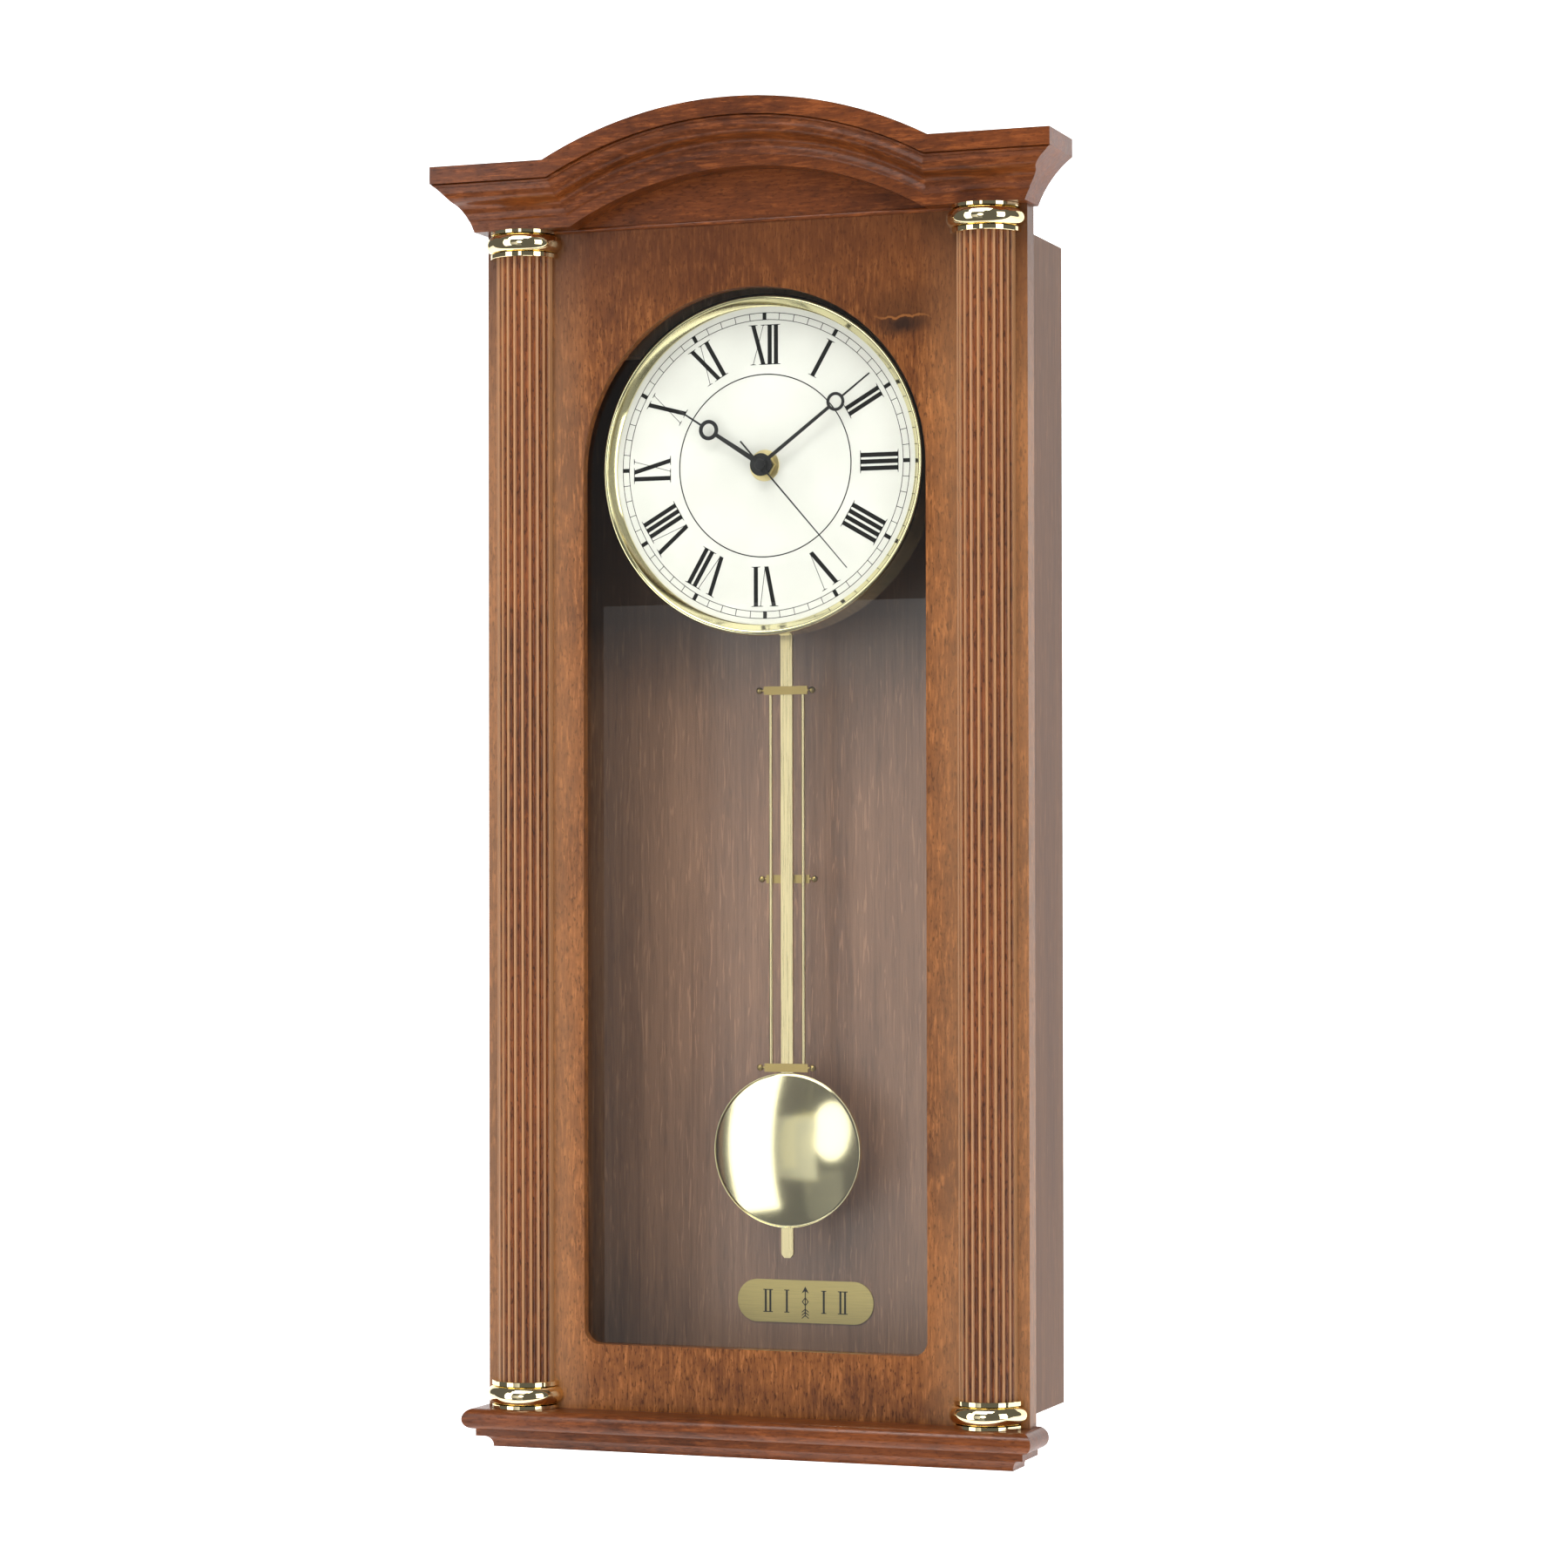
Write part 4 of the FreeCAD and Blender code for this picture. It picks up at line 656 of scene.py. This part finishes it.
class CLOCK_OT_dial(bpy.types.Operator):
    """Print the dial: minute track, numerals and inner ring"""
    bl_idname = "clock.dial"
    bl_label = "Dial"

    def execute(self, context):
        settings = context.scene.clock_dial
        white = finish("dial_paint", matt_coat, colour(settings.paint), roughness=0.42, depth=0.00001)
        repaint("dial_face", white)
        front, back = DIAL_SURFACE - 0.06 * MM, DIAL_SURFACE + 0.02 * MM
        bm = bmesh.new()
        line, five_minute_half = settings.line_width, 0.95 * MM
        for radius in (settings.track_outer, settings.track_inner, settings.ring_radius):
            width = line * (1.8 if radius == settings.ring_radius else 1.0)
            add_band(bm, radius - width / 2, radius + width / 2, front, back, DIAL_SPOT)
        for minute in range(60):
            half = five_minute_half if minute % 5 == 0 else line / 2
            outline = [(-half, settings.track_inner), (half, settings.track_inner),
                       (half, settings.track_outer), (-half, settings.track_outer)]
            add_slab(bm, outline, front - 0.01 * MM, back, math.radians(6 * minute), DIAL_SPOT)
        words = ["XII", "I", "II", "III", "IIII", "V", "VI", "VII", "VIII", "IX", "X", "XI"]
        for hour, word in enumerate(words):
            add_numeral(bm, word, hour, settings, front, back)
        mesh = finish_mesh(bm, "dial_printing")
        new_piece(mesh, "case", printing_ink(context), "hand_black")
        return {"FINISHED"}


class CLOCK_OT_hands(bpy.types.Operator):
    """Make the three hands and the cap"""
    bl_idname = "clock.hands"
    bl_label = "Hands"

    def hand(self, name, node, body, degrees, material, ring_at, ring, tip, root_half, neck_half, hub):
        """A hand with a tapered stem, an open ring and a fine tip."""
        outer, hole = ring
        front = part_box(node)[0].y
        back = front + bpy.context.scene.clock_hands.thickness
        turn = math.radians(degrees)
        stem_top, needle_foot = ring_at - outer * 0.9, ring_at + outer * 0.9
        foot_half, tip_half = 0.5 * MM, 0.36 * MM
        bm = bmesh.new()
        stem = [(-root_half, 0), (root_half, 0), (neck_half, stem_top), (-neck_half, stem_top)]
        add_slab(bm, stem, front, back, turn, DIAL_SPOT)
        needle = [(-foot_half, needle_foot), (foot_half, needle_foot), (tip_half, tip), (-tip_half, tip)]
        add_slab(bm, needle, front, back, turn, DIAL_SPOT)
        eye = (DIAL_SPOT[0] + ring_at * math.sin(turn), DIAL_SPOT[1] + ring_at * math.cos(turn))
        add_band(bm, hole, outer, front - 0.04 * MM, back + 0.02 * MM, eye, 64)
        add_band(bm, hub * 0.3, hub, front - 0.05 * MM, back + 0.05 * MM, DIAL_SPOT, 64)
        piece = new_piece(finish_mesh(bm, name, 30), body, material, "hand_black", node)
        rounded(piece, 0.1 * MM)

    def second_hand(self, material):
        """A plain needle with a tail, under a small cap."""
        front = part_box("second_hand")[0].y
        back = front + 1.0 * MM
        half, tip_half, tip, tail = 0.42 * MM, 0.2 * MM, 66.8 * MM, -15 * MM
        blade = [(-half, tail), (half, tail), (half, 0), (tip_half, tip), (-tip_half, tip), (-half, 0)]
        bm = bmesh.new()
        add_slab(bm, blade, back - 0.3 * MM, back, math.radians(SECOND_REST), DIAL_SPOT)
        mesh = finish_mesh(bm, "second_hand_blade")
        new_piece(mesh, "seconds", material, "hand_black", "second_hand")
        crown, edge, flange = 2.2 * MM, 0.5 * MM, 3.3 * MM
        cap = [(0.0, front), (crown, front), *arc_points((crown, front + edge), edge, -90, 0, 5),
               (crown + edge, back + 0.1 * MM), (flange, back + 0.2 * MM), (flange, back + 0.7 * MM),
               (0.0, back + 0.7 * MM)]
        new_piece(lathe("hand_cap", cap, DIAL_AXIS, "Y", 64), "seconds", material, "hand_black")

    def execute(self, context):
        settings = context.scene.clock_hands
        black = finish("hand_paint", matt_coat, colour(settings.colour), roughness=0.3, gloss=0.3)
        outer, hole = settings.ring_outer, settings.ring_hole
        self.hand("hour_hand_blade", "hour_hand", "hours", HOUR_REST, black, ring_at=32.3 * MM,
                  ring=(outer + 0.4 * MM, hole), tip=50.3 * MM, root_half=1.3 * MM,
                  neck_half=0.95 * MM, hub=5.2 * MM)
        self.hand("minute_hand_blade", "minute_hand", "minutes", MINUTE_REST, black, ring_at=47.3 * MM,
                  ring=(outer, hole), tip=68.6 * MM, root_half=0.95 * MM, neck_half=0.8 * MM,
                  hub=5.4 * MM)
        self.second_hand(black)
        return {"FINISHED"}


class CLOCK_OT_bezel(bpy.types.Operator):
    """Turn the dial's bezel and finish the drum, washer and nut"""
    bl_idname = "clock.bezel"
    bl_label = "Bezel and drum"

    def execute(self, context):
        settings = context.scene.clock_metal
        brass = finish("dial_brass", polished, colour(settings.brass), roughness=0.09, wear=0.01,
                       tarnish=0.04)
        outer = (BEZEL_HIGH.x - BEZEL_LOW.x) / 2
        inner = outer - 5.6 * MM
        front, back = BEZEL_LOW.y, BEZEL_HIGH.y
        roll = 1.4 * MM
        crown = outer - roll - 0.05 * MM
        shell, recess = outer - 1.2 * MM, outer - 2.1 * MM
        profile = [(inner, DIAL_SURFACE - 0.1 * MM), (inner + 0.1 * MM, DIAL_SURFACE - 1.0 * MM),
                   (inner + 0.75 * MM, DIAL_SURFACE - 1.6 * MM),
                   (crown - roll * 0.9, front + roll * 1.2),
                   *arc_points((crown, front + roll), roll, 190, 360, 14),
                   (outer, front + roll * 1.4), (outer - 0.25 * MM, front + roll * 2.4),
                   (outer - 0.15 * MM, back), (shell, back), (shell, DIAL_SURFACE - 2.6 * MM),
                   (recess, DIAL_SURFACE - 2.6 * MM), (recess, DIAL_SURFACE - 0.1 * MM)]
        mesh = lathe("bezel_ring", profile, DIAL_AXIS, "Y", 256, smooth_angle=40)
        new_piece(mesh, "case", brass, "dial_brass", "dial_bezel")
        repaint("dial_drum", brass)
        repaint("dial_web", brass)
        satin = finish("washer_brass", matt_coat, (0.92, 0.78, 0.40), roughness=0.3, metallic=1.0,
                       texture=1500.0)
        low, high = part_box("centre_washer_and_nut")
        back, seat = high.y, high.y - 0.5 * MM
        radius, bore = (high.x - low.x) / 2 - 0.5 * MM, 4.0 * MM
        washer = [(bore, back), (bore, seat), (radius - 0.2 * MM, seat), (radius, back - 0.3 * MM),
                  (radius, back)]
        mesh = lathe("centre_washer", washer, DIAL_AXIS, "Y", 96)
        new_piece(mesh, "case", satin, "dial_brass", "centre_washer_and_nut")
        corner = 5.9 * MM
        nut = [(bore, seat), (bore, low.y), (corner - 0.4 * MM, low.y), (corner, low.y + 0.3 * MM),
               (corner, seat)]
        mesh = lathe("centre_nut", nut, DIAL_AXIS, "Y", 6, smooth_angle=20)
        new_piece(mesh, "case", satin, "dial_brass")
        return {"FINISHED"}


class CLOCK_OT_pendulum(bpy.types.Operator):
    """Turn the bob and finish the rod, wires and bars"""
    bl_idname = "clock.pendulum"
    bl_label = "Pendulum"

    def execute(self, context):
        settings = context.scene.clock_metal
        pale = finish("bob_brass", polished, colour(settings.pale), roughness=0.11, wear=0.012, tarnish=0.05)
        satin = finish("rod_brass", brushed, colour(settings.satin), "Z", roughness=0.24)
        bars = finish("bar_brass", matt_coat, (0.46, 0.34, 0.12), roughness=0.3, texture=2600.0,
                      depth=0.00012, metallic=1.0)
        outer = (BOB_HIGH.x - BOB_LOW.x) / 2
        rim, roll, shell = 0.4 * MM, 0.3 * MM, 0.7 * MM
        middle_y = (ROD_LOW.y + ROD_HIGH.y) / 2
        swell = 5.3 * MM
        base = middle_y - 1.2 * MM
        dome_edge = outer - rim * 1.5
        sphere = (dome_edge ** 2 + swell ** 2) / (2 * swell)
        profile = [(0.0, base - swell)]
        for step in range(1, 41):
            radius = dome_edge * step / 40
            profile.append((radius, base + sphere - swell - math.sqrt(sphere ** 2 - radius ** 2)))
        profile += [(dome_edge + 0.15 * MM, base + 0.12 * MM),
                    *arc_points((outer - roll, base + 0.1 * MM), roll, -130, 0, 8),
                    (outer, middle_y), (outer - shell, middle_y)]
        for step in range(20, -1, -1):
            radius = (dome_edge - 0.6 * MM) * step / 20
            depth = base + sphere - swell + shell - math.sqrt(sphere ** 2 - radius ** 2)
            profile.append((radius, depth))
        centre = Vector((0, 0, (BOB_LOW.z + BOB_HIGH.z) / 2))
        mesh = lathe("bob_face", profile, centre, "Y", 192, smooth_angle=50)
        new_piece(mesh, "pendulum", pale, "bob_brass", "bob_front_shell")
        repaint("bob_back_shell", pale)
        for node in ("pendulum_rod", "pendulum_wires"):
            repaint(node, satin)
        repaint("pendulum_bars", bars)
        repaint("pendulum_leader", black_plastic())
        repaint("leader_magnet", dark_magnet())
        return {"FINISHED"}


class CLOCK_OT_rings(bpy.types.Operator):
    """Turn the gold rings at the heads and feet of the columns"""
    bl_idname = "clock.rings"
    bl_label = "Column rings"

    def execute(self, context):
        shade = colour(context.scene.clock_metal.gold)
        gold = finish("gold_plate", polished, shade, roughness=0.03, wear=0.01, tarnish=0.03)
        for side in ("left", "right"):
            for place, up in (("capital", 1), ("foot", -1)):
                node = side + "_" + place + "_ring"
                low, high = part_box(node)
                radius = (high.x - low.x) / 2
                collar = radius - 1.7 * MM
                height = high.z - low.z
                swell_start, swell_end = height * 0.17, height * 0.86
                half = (swell_end - swell_start) / 2
                bulge = half * 0.92
                groove, chamfer = collar - 0.4 * MM, 0.2 * MM
                points = [(0.0, 0.0), (collar - chamfer, 0.0), (collar, chamfer),
                          (collar, swell_start - 0.1 * MM), (groove, swell_start)]
                for step in range(25):
                    angle = math.radians(-90 + 180 * step / 24)
                    points.append((radius + 0.4 * MM - bulge + bulge * math.cos(angle),
                                   (swell_start + swell_end) / 2 + half * math.sin(angle)))
                points += [(groove, swell_end), (collar, swell_end + 0.1 * MM),
                           (collar, height - chamfer), (collar - chamfer, height), (0.0, height)]
                start_z = low.z if up > 0 else high.z
                profile = [(r, start_z + up * z) for r, z in points]
                middle = Vector(((low.x + high.x) / 2, high.y, 0))
                mesh = lathe(node + "_turned", profile, middle, "Z", 96, math.pi, math.pi, 38)
                new_piece(mesh, "door", gold, "gold_plate", node)
        return {"FINISHED"}


class CLOCK_OT_woodwork(bpy.types.Operator):
    """Finish the door frame, cornice, base moulding and columns"""
    bl_idname = "clock.woodwork"
    bl_label = "Woodwork"

    def execute(self, context):
        settings = context.scene.clock_wood
        light, dark = colour(settings.door_light), colour(settings.door_dark)
        # The veneer carries painted light: paler stiles and a darker head.
        veneer = finish("door_veneer", lacquered_wood, light, dark, "Z", 0.48, marks=door_knot_and_painted_light)
        light, dark = colour(settings.moulding_light), colour(settings.moulding_dark)
        level = finish("moulding_wood", lacquered_wood, light, dark, "X", 0.42, 2.0, flecked=0.4)
        infill = finish("infill_wood", lacquered_wood, shaded(light, 0.8), dark, "X", 0.5, 7.0,
                        flecked=0.5)
        # The columns carry painted highlights on their ridges.
        upright = finish("column_wood", lacquered_wood, shaded(light, 1.05), dark, "Z", 0.42, 5.0,
                         painted_ridge_highlights)
        rounded(repaint("door_panel", veneer), 0.5 * MM)
        rounded(repaint("cornice", level), 0.25 * MM)
        rounded(repaint("base_moulding", level), 0.25 * MM)
        repaint("arch_infill", infill)
        for node in ("left_column", "right_column"):
            rounded(repaint(node, upright), 0.28 * MM, 3)
        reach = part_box("arch_infill")[0].x - 18 * MM
        bm = bmesh.new()
        section = arc_points((PANEL_LOW.y, PANEL_HIGH.z - 0.2 * MM), 1.1 * MM, 90, 270, 10)
        ends = [[bm.verts.new((x, y, z)) for y, z in section] for x in (reach, -reach)]
        bridge(bm, *ends)
        for end in ends:
            bm.faces.new(end)
        new_piece(finish_mesh(bm, "panel_top_bead", 40), "door", level, "moulding_wood")
        bead = finish("bead_plastic", matt_coat, (0.012, 0.010, 0.009), roughness=0.5, gloss=0.2)
        repaint("glass_bead", bead)
        repaint("door_glass", finish("clear_glass", sheet_glass))
        return {"FINISHED"}


class CLOCK_OT_case(bpy.types.Operator):
    """Finish the case, its back panel, hanging plate and hinges"""
    bl_idname = "clock.case"
    bl_label = "Case"

    def execute(self, context):
        settings = context.scene.clock_wood
        light, dark = colour(settings.case_light), colour(settings.case_dark)
        # The case foil carries painted shade: nearly black inner walls.
        foil = finish("case_foil", foil_wood, light, dark, 0.16, 0.5, gloss=0.3, marks=painted_shade_inside)
        # The back panel carries painted shadow behind the dial.
        light, dark = colour(settings.back_light), colour(settings.back_dark)
        back = finish("back_foil", foil_wood, light, dark, 0.2, 0.36, pressed=0.28, gloss=0.8,
                      marks=painted_shadow_behind_dial)
        raw = finish("raw_wood", foil_wood, (0.55, 0.4, 0.25), (0.42, 0.29, 0.17), 0.2, 0.6, 60.0)
        steel = finish("bright_steel", brushed, (0.62, 0.62, 0.6), "Z", roughness=0.3)
        hinge = finish("hinge_brass", brushed, (0.72, 0.56, 0.28), "Z", roughness=0.26)
        for node in ("left_side_panel", "right_side_panel", "case_top_board", "case_bottom_board"):
            rounded(repaint(node, foil), 0.3 * MM)
        repaint("back_panel", back)
        repaint("hanging_batten", raw)
        for node in ("hanger_plate", "panel_screws", "strike_plate"):
            repaint(node, steel)
        for node in ("hinge_case_leaves", "hinge_door_leaves", "hinge_pins", "hinge_case_screws",
                     "hinge_door_screws"):
            repaint(node, hinge)
        repaint("magnet_catch", black_plastic())
        return {"FINISHED"}


class CLOCK_OT_beat_plate(bpy.types.Operator):
    """Finish the beat plate and fill in its marks"""
    bl_idname = "clock.beat_plate"
    bl_label = "Beat plate"

    def execute(self, context):
        brass = finish("plate_brass", brushed, (0.63, 0.51, 0.20), "X", roughness=0.34)
        repaint("beat_plate", brass)
        repaint("panel_pins", brass)
        front, back = PLATE_LOW.y - 0.03 * MM, PLATE_LOW.y + 0.02 * MM
        centre = ((PLATE_LOW.x + PLATE_HIGH.x) / 2, (PLATE_LOW.z + PLATE_HIGH.z) / 2)
        bm = bmesh.new()
        rise, half, foot_half, thin = 5.4, 0.52, 1.3, 0.22

        def mark(outline, proud=0.0):
            """A mark of (x, z) points in millimetres from the middle of the plate."""
            add_slab(bm, [(x * MM, z * MM) for x, z in outline], front - proud * MM, back, 0.0, centre)

        for x in (-20.6, -18.2, -9.6, 9.6, 18.2, 20.6):
            mark(stroke((x, -rise), (x, rise), half * 2))
            for end in (-rise, rise):
                mark([(x - foot_half, end - thin), (x + foot_half, end - thin),
                      (x + foot_half, end + thin), (x - foot_half, end + thin)], 0.01)
        mark([(-0.26, -7.2), (0.26, -7.2), (0.26, 5.4), (-0.26, 5.4)])
        mark([(0, 7.4), (-1.9, 4.0), (0, 5.2)])
        mark([(0, 7.4), (0, 5.2), (1.9, 4.0)])
        for side in (-1, 1):
            mark([(0, 2.3), (side * 1.8, 0), (0, -2.3), (0, -1.6), (side * 1.2, 0), (0, 1.6)])
            for z in (-3.4, -4.9, -6.4):
                mark([(0, z), (side * 1.8, z - 1.5), (side * 1.8, z - 2.05), (0, z - 0.55)])
        mesh = finish_mesh(bm, "beat_plate_marks")
        new_piece(mesh, "case", printing_ink(context), "hand_black")
        return {"FINISHED"}


class CLOCK_OT_movement(bpy.types.Operator):
    """Finish the movement, its gears and its battery"""
    bl_idname = "clock.movement"
    bl_label = "Movement"

    def execute(self, context):
        for node in ("movement_front_housing", "movement_rear_cover", "setting_knob"):
            repaint(node, black_plastic())
        repaint("movement_bracket", finish("black_steel", matt_coat, (0.015, 0.015, 0.016), roughness=0.3))
        gear = finish("gear_plastic", matt_coat, (0.8, 0.79, 0.73), roughness=0.4)
        for node in ("motion_wheel", "centre_wheel", "third_wheel", "intermediate_wheel", "hour_wheel"):
            repaint(node, gear)
        turned = finish("arbor_brass", brushed, (0.78, 0.6, 0.3), "X")
        for node in ("minute_arbor", "seconds_wheel"):
            repaint(node, turned)
        repaint("rotor", dark_magnet())
        winding = finish("copper_wire", wound_wire, (0.62, 0.26, 0.1))
        for node in ("motor_coil", "pendulum_coil"):
            repaint(node, winding)
        repaint("battery", finish("cell_jacket", matt_coat, (0.06, 0.14, 0.17), roughness=0.3))
        repaint("battery_contacts", finish("plated_spring", brushed, (0.72, 0.72, 0.72), "Z", roughness=0.2))
        return {"FINISHED"}


class CLOCK_OT_studio(bpy.types.Operator):
    """Set up the pale floor, the soft lights and the camera"""
    bl_idname = "clock.studio"
    bl_label = "Studio"

    def white_surface(self, mesh, glow):
        """Puts a plain pale stage surface in the scene."""
        paint = Paint(mesh.name)
        grain = paint.noise(40.0)
        tone = paint.mix(paint.grey(grain, 0.3, 0.7), (0.9, 0.9, 0.9), (0.92, 0.92, 0.92))
        mesh.materials.append(paint.done(paint.surface(
            Base_Color=tone, Roughness=0.9, Emission_Color=WHITE, Emission_Strength=glow)))
        piece = add_object(mesh)
        return piece

    def sheet(self, name, outline):
        """A wide white surface through a line of (y, z) points."""
        bm = bmesh.new()
        half = 6.0
        rows = [[bm.verts.new((x, y, z)) for y, z in outline] for x in (-half, half)]
        for index in range(len(outline) - 1):
            bm.faces.new([rows[0][index], rows[1][index], rows[1][index + 1], rows[0][index + 1]])
        return self.white_surface(finish_mesh(bm, name, 60), 0.8)

    def tent(self, floor_z):
        """A pale tent round the whole studio that closes off every other view and gives no light."""
        low, thick = floor_z - 0.2, 0.1
        radius, eaves, ridge = 9.0, 5.0, 9.0
        walls = [(0.0, low), (radius, low), (radius, eaves), (0.0, ridge), (0.0, ridge + thick),
                 (radius + thick, eaves + thick), (radius + thick, low - thick), (0.0, low - thick)]
        piece = self.white_surface(lathe("studio_tent", walls, Vector((0, 0, 0)), "Z", 64), 1.0)
        for ray in ("diffuse", "glossy", "shadow", "transmission"):
            setattr(piece, "visible_" + ray, False)

    def spot(self, azimuth, elevation, distance, centre):
        """A place seen from centre at angles to the right of and above straight ahead."""
        side, rise = math.radians(azimuth), math.radians(elevation)
        away = Vector((math.sin(side) * math.cos(rise), -math.cos(side) * math.cos(rise), math.sin(rise)))
        return centre + away * distance

    def panel(self, name, place, target, size, radiance, shape="RECTANGLE"):
        """A soft light of even brightness aimed at a point."""
        lamp = bpy.data.lights.new(name, "AREA")
        lamp.shape = shape
        lamp.size, lamp.size_y = size
        area = size[0] * size[1] * (math.pi / 4 if shape == "ELLIPSE" else 1.0)
        lamp.energy = radiance * area * math.pi
        light = add_object(lamp)
        light.location = place
        light.rotation_mode = "QUATERNION"
        light.rotation_quaternion = (Vector(target) - Vector(place)).to_track_quat("-Z", "Y")
        light.visible_camera = False

    def card(self, name, low, high, depth, left, right):
        """An upright card in front of the clock, paler to one side, that only reflections show."""
        bm = bmesh.new()
        corners = [low, (high[0], low[1]), high, (low[0], high[1])]
        bm.faces.new([bm.verts.new((x, depth, z)) for x, z in corners])
        mesh = finish_mesh(bm, name)
        paint = Paint(name)
        share = paint.grey(paint.coordinate("X"), low[0], high[0])
        glow = paint.mix(share, (left,) * 3, (right,) * 3)
        mesh.materials.append(paint.done(paint.surface(
            Base_Color=(0.0, 0.0, 0.0), Roughness=1.0, Emission_Color=glow, Emission_Strength=1.0)))
        piece = add_object(mesh)
        for ray in ("camera", "diffuse", "shadow", "transmission"):
            setattr(piece, "visible_" + ray, False)

    def camera(self, settings):
        lens = bpy.data.cameras.new("studio_camera")
        lens.lens = settings.lens
        lens.sensor_width = 36.0
        lens.shift_y = settings.shift
        lens.clip_start, lens.clip_end = 0.1, 50.0
        camera = add_object(lens)
        camera.location = (settings.camera_right, -settings.camera_front, -settings.camera_below)
        tilt = math.pi / 2 + settings.pitch
        turn = Matrix.Rotation(settings.azimuth, 4, "Z") @ Matrix.Rotation(tilt, 4, "X")
        turn = turn @ Matrix.Rotation(settings.roll, 4, "Z")
        camera.rotation_mode = "QUATERNION"
        camera.rotation_quaternion = turn.to_quaternion()
        bpy.context.scene.camera = camera

    def execute(self, context):
        settings = context.scene.clock_studio
        floor_z = CAD_LOW.z - settings.floor_gap
        near, split, bend, sweep, height = -8.8, -0.2, 2.2, 1.5, 5.0
        front_floor = self.sheet("studio_front_floor", [(near, floor_z), (split, floor_z)])
        front_floor.visible_glossy = False
        self.sheet("studio_back_floor", [(split, floor_z), (bend, floor_z)])
        curve = arc_points((bend, floor_z + sweep), sweep, -90, 0, 16)
        self.sheet("studio_backdrop", [*curve, (bend + sweep, floor_z + height)])
        self.tent(floor_z)
        middle = (CAD_LOW + CAD_HIGH) / 2
        bob = Vector((0.0, ROD_LOW.y, (BOB_LOW.z + BOB_HIGH.z) / 2))
        self.panel("tall_left", self.spot(-36, 4, 3.0, bob), middle, (1.17, 3.6), 2.5)
        self.panel("round_front", self.spot(1.8, 5.5, 3.0, bob), middle, (0.9, 1.4), 2.1, "ELLIPSE")
        self.panel("side_right", self.spot(60, 5, 3.0, middle), middle, (1.2, 2.6), 3.2)
        self.panel("overhead", self.spot(0, 58, 2.8, middle), middle, (2.2, 1.2), 5.4)
        self.panel("high_front", self.spot(-12, 44, 2.8, middle), middle, (2.0, 1.2), 3.5)
        glass_top = CAD_HIGH.z - 0.102
        self.card("grey_card", (-0.849, -0.95), (-0.16, glass_top), -settings.camera_front, 0.38, 0.85)
        self.card("low_card", (-0.5, -2.0), (0.28, -0.9), -2.4, 0.22, 0.3)
        world = bpy.data.worlds.new("studio_world")
        context.scene.world = world
        world.use_nodes = True
        background = world.node_tree.nodes["Background"]
        background.inputs["Color"].default_value = (*WHITE, 1.0)
        background.inputs["Strength"].default_value = 0.12
        context.scene.view_settings.view_transform = "Standard"
        self.camera(settings)
        return {"FINISHED"}


OPERATORS = (CLOCK_OT_woodwork, CLOCK_OT_case, CLOCK_OT_rings, CLOCK_OT_bezel, CLOCK_OT_dial, CLOCK_OT_hands,
             CLOCK_OT_pendulum, CLOCK_OT_beat_plate, CLOCK_OT_movement, CLOCK_OT_studio)
SETTINGS = {"clock_dial": DialSettings, "clock_hands": HandSettings, "clock_wood": WoodSettings,
            "clock_metal": MetalSettings, "clock_studio": StudioSettings}


class CLOCK_PT_panel(bpy.types.Panel):
    """The wall clock's sizes, colours and pieces"""
    bl_idname = "CLOCK_PT_panel"
    bl_label = "Wall Clock"
    bl_space_type = "VIEW_3D"
    bl_region_type = "UI"
    bl_category = "Wall Clock"

    def draw(self, context):
        for name, group in SETTINGS.items():
            box = self.layout.box()
            for key in group.__annotations__:
                box.prop(getattr(context.scene, name), key)
        for operator in OPERATORS:
            self.layout.operator(operator.bl_idname)


CLASSES = (*SETTINGS.values(), *OPERATORS, CLOCK_PT_panel)


def register():
    for item in CLASSES:
        bpy.utils.register_class(item)
    for name, group in SETTINGS.items():
        setattr(bpy.types.Scene, name, bpy.props.PointerProperty(type=group))


def unregister():
    for name in SETTINGS:
        delattr(bpy.types.Scene, name)
    for item in reversed(CLASSES):
        bpy.utils.unregister_class(item)


def main():
    register()
    for operator in OPERATORS:
        group, name = operator.bl_idname.split(".")
        getattr(getattr(bpy.ops, group), name)()


if __name__ == "__main__":
    main()
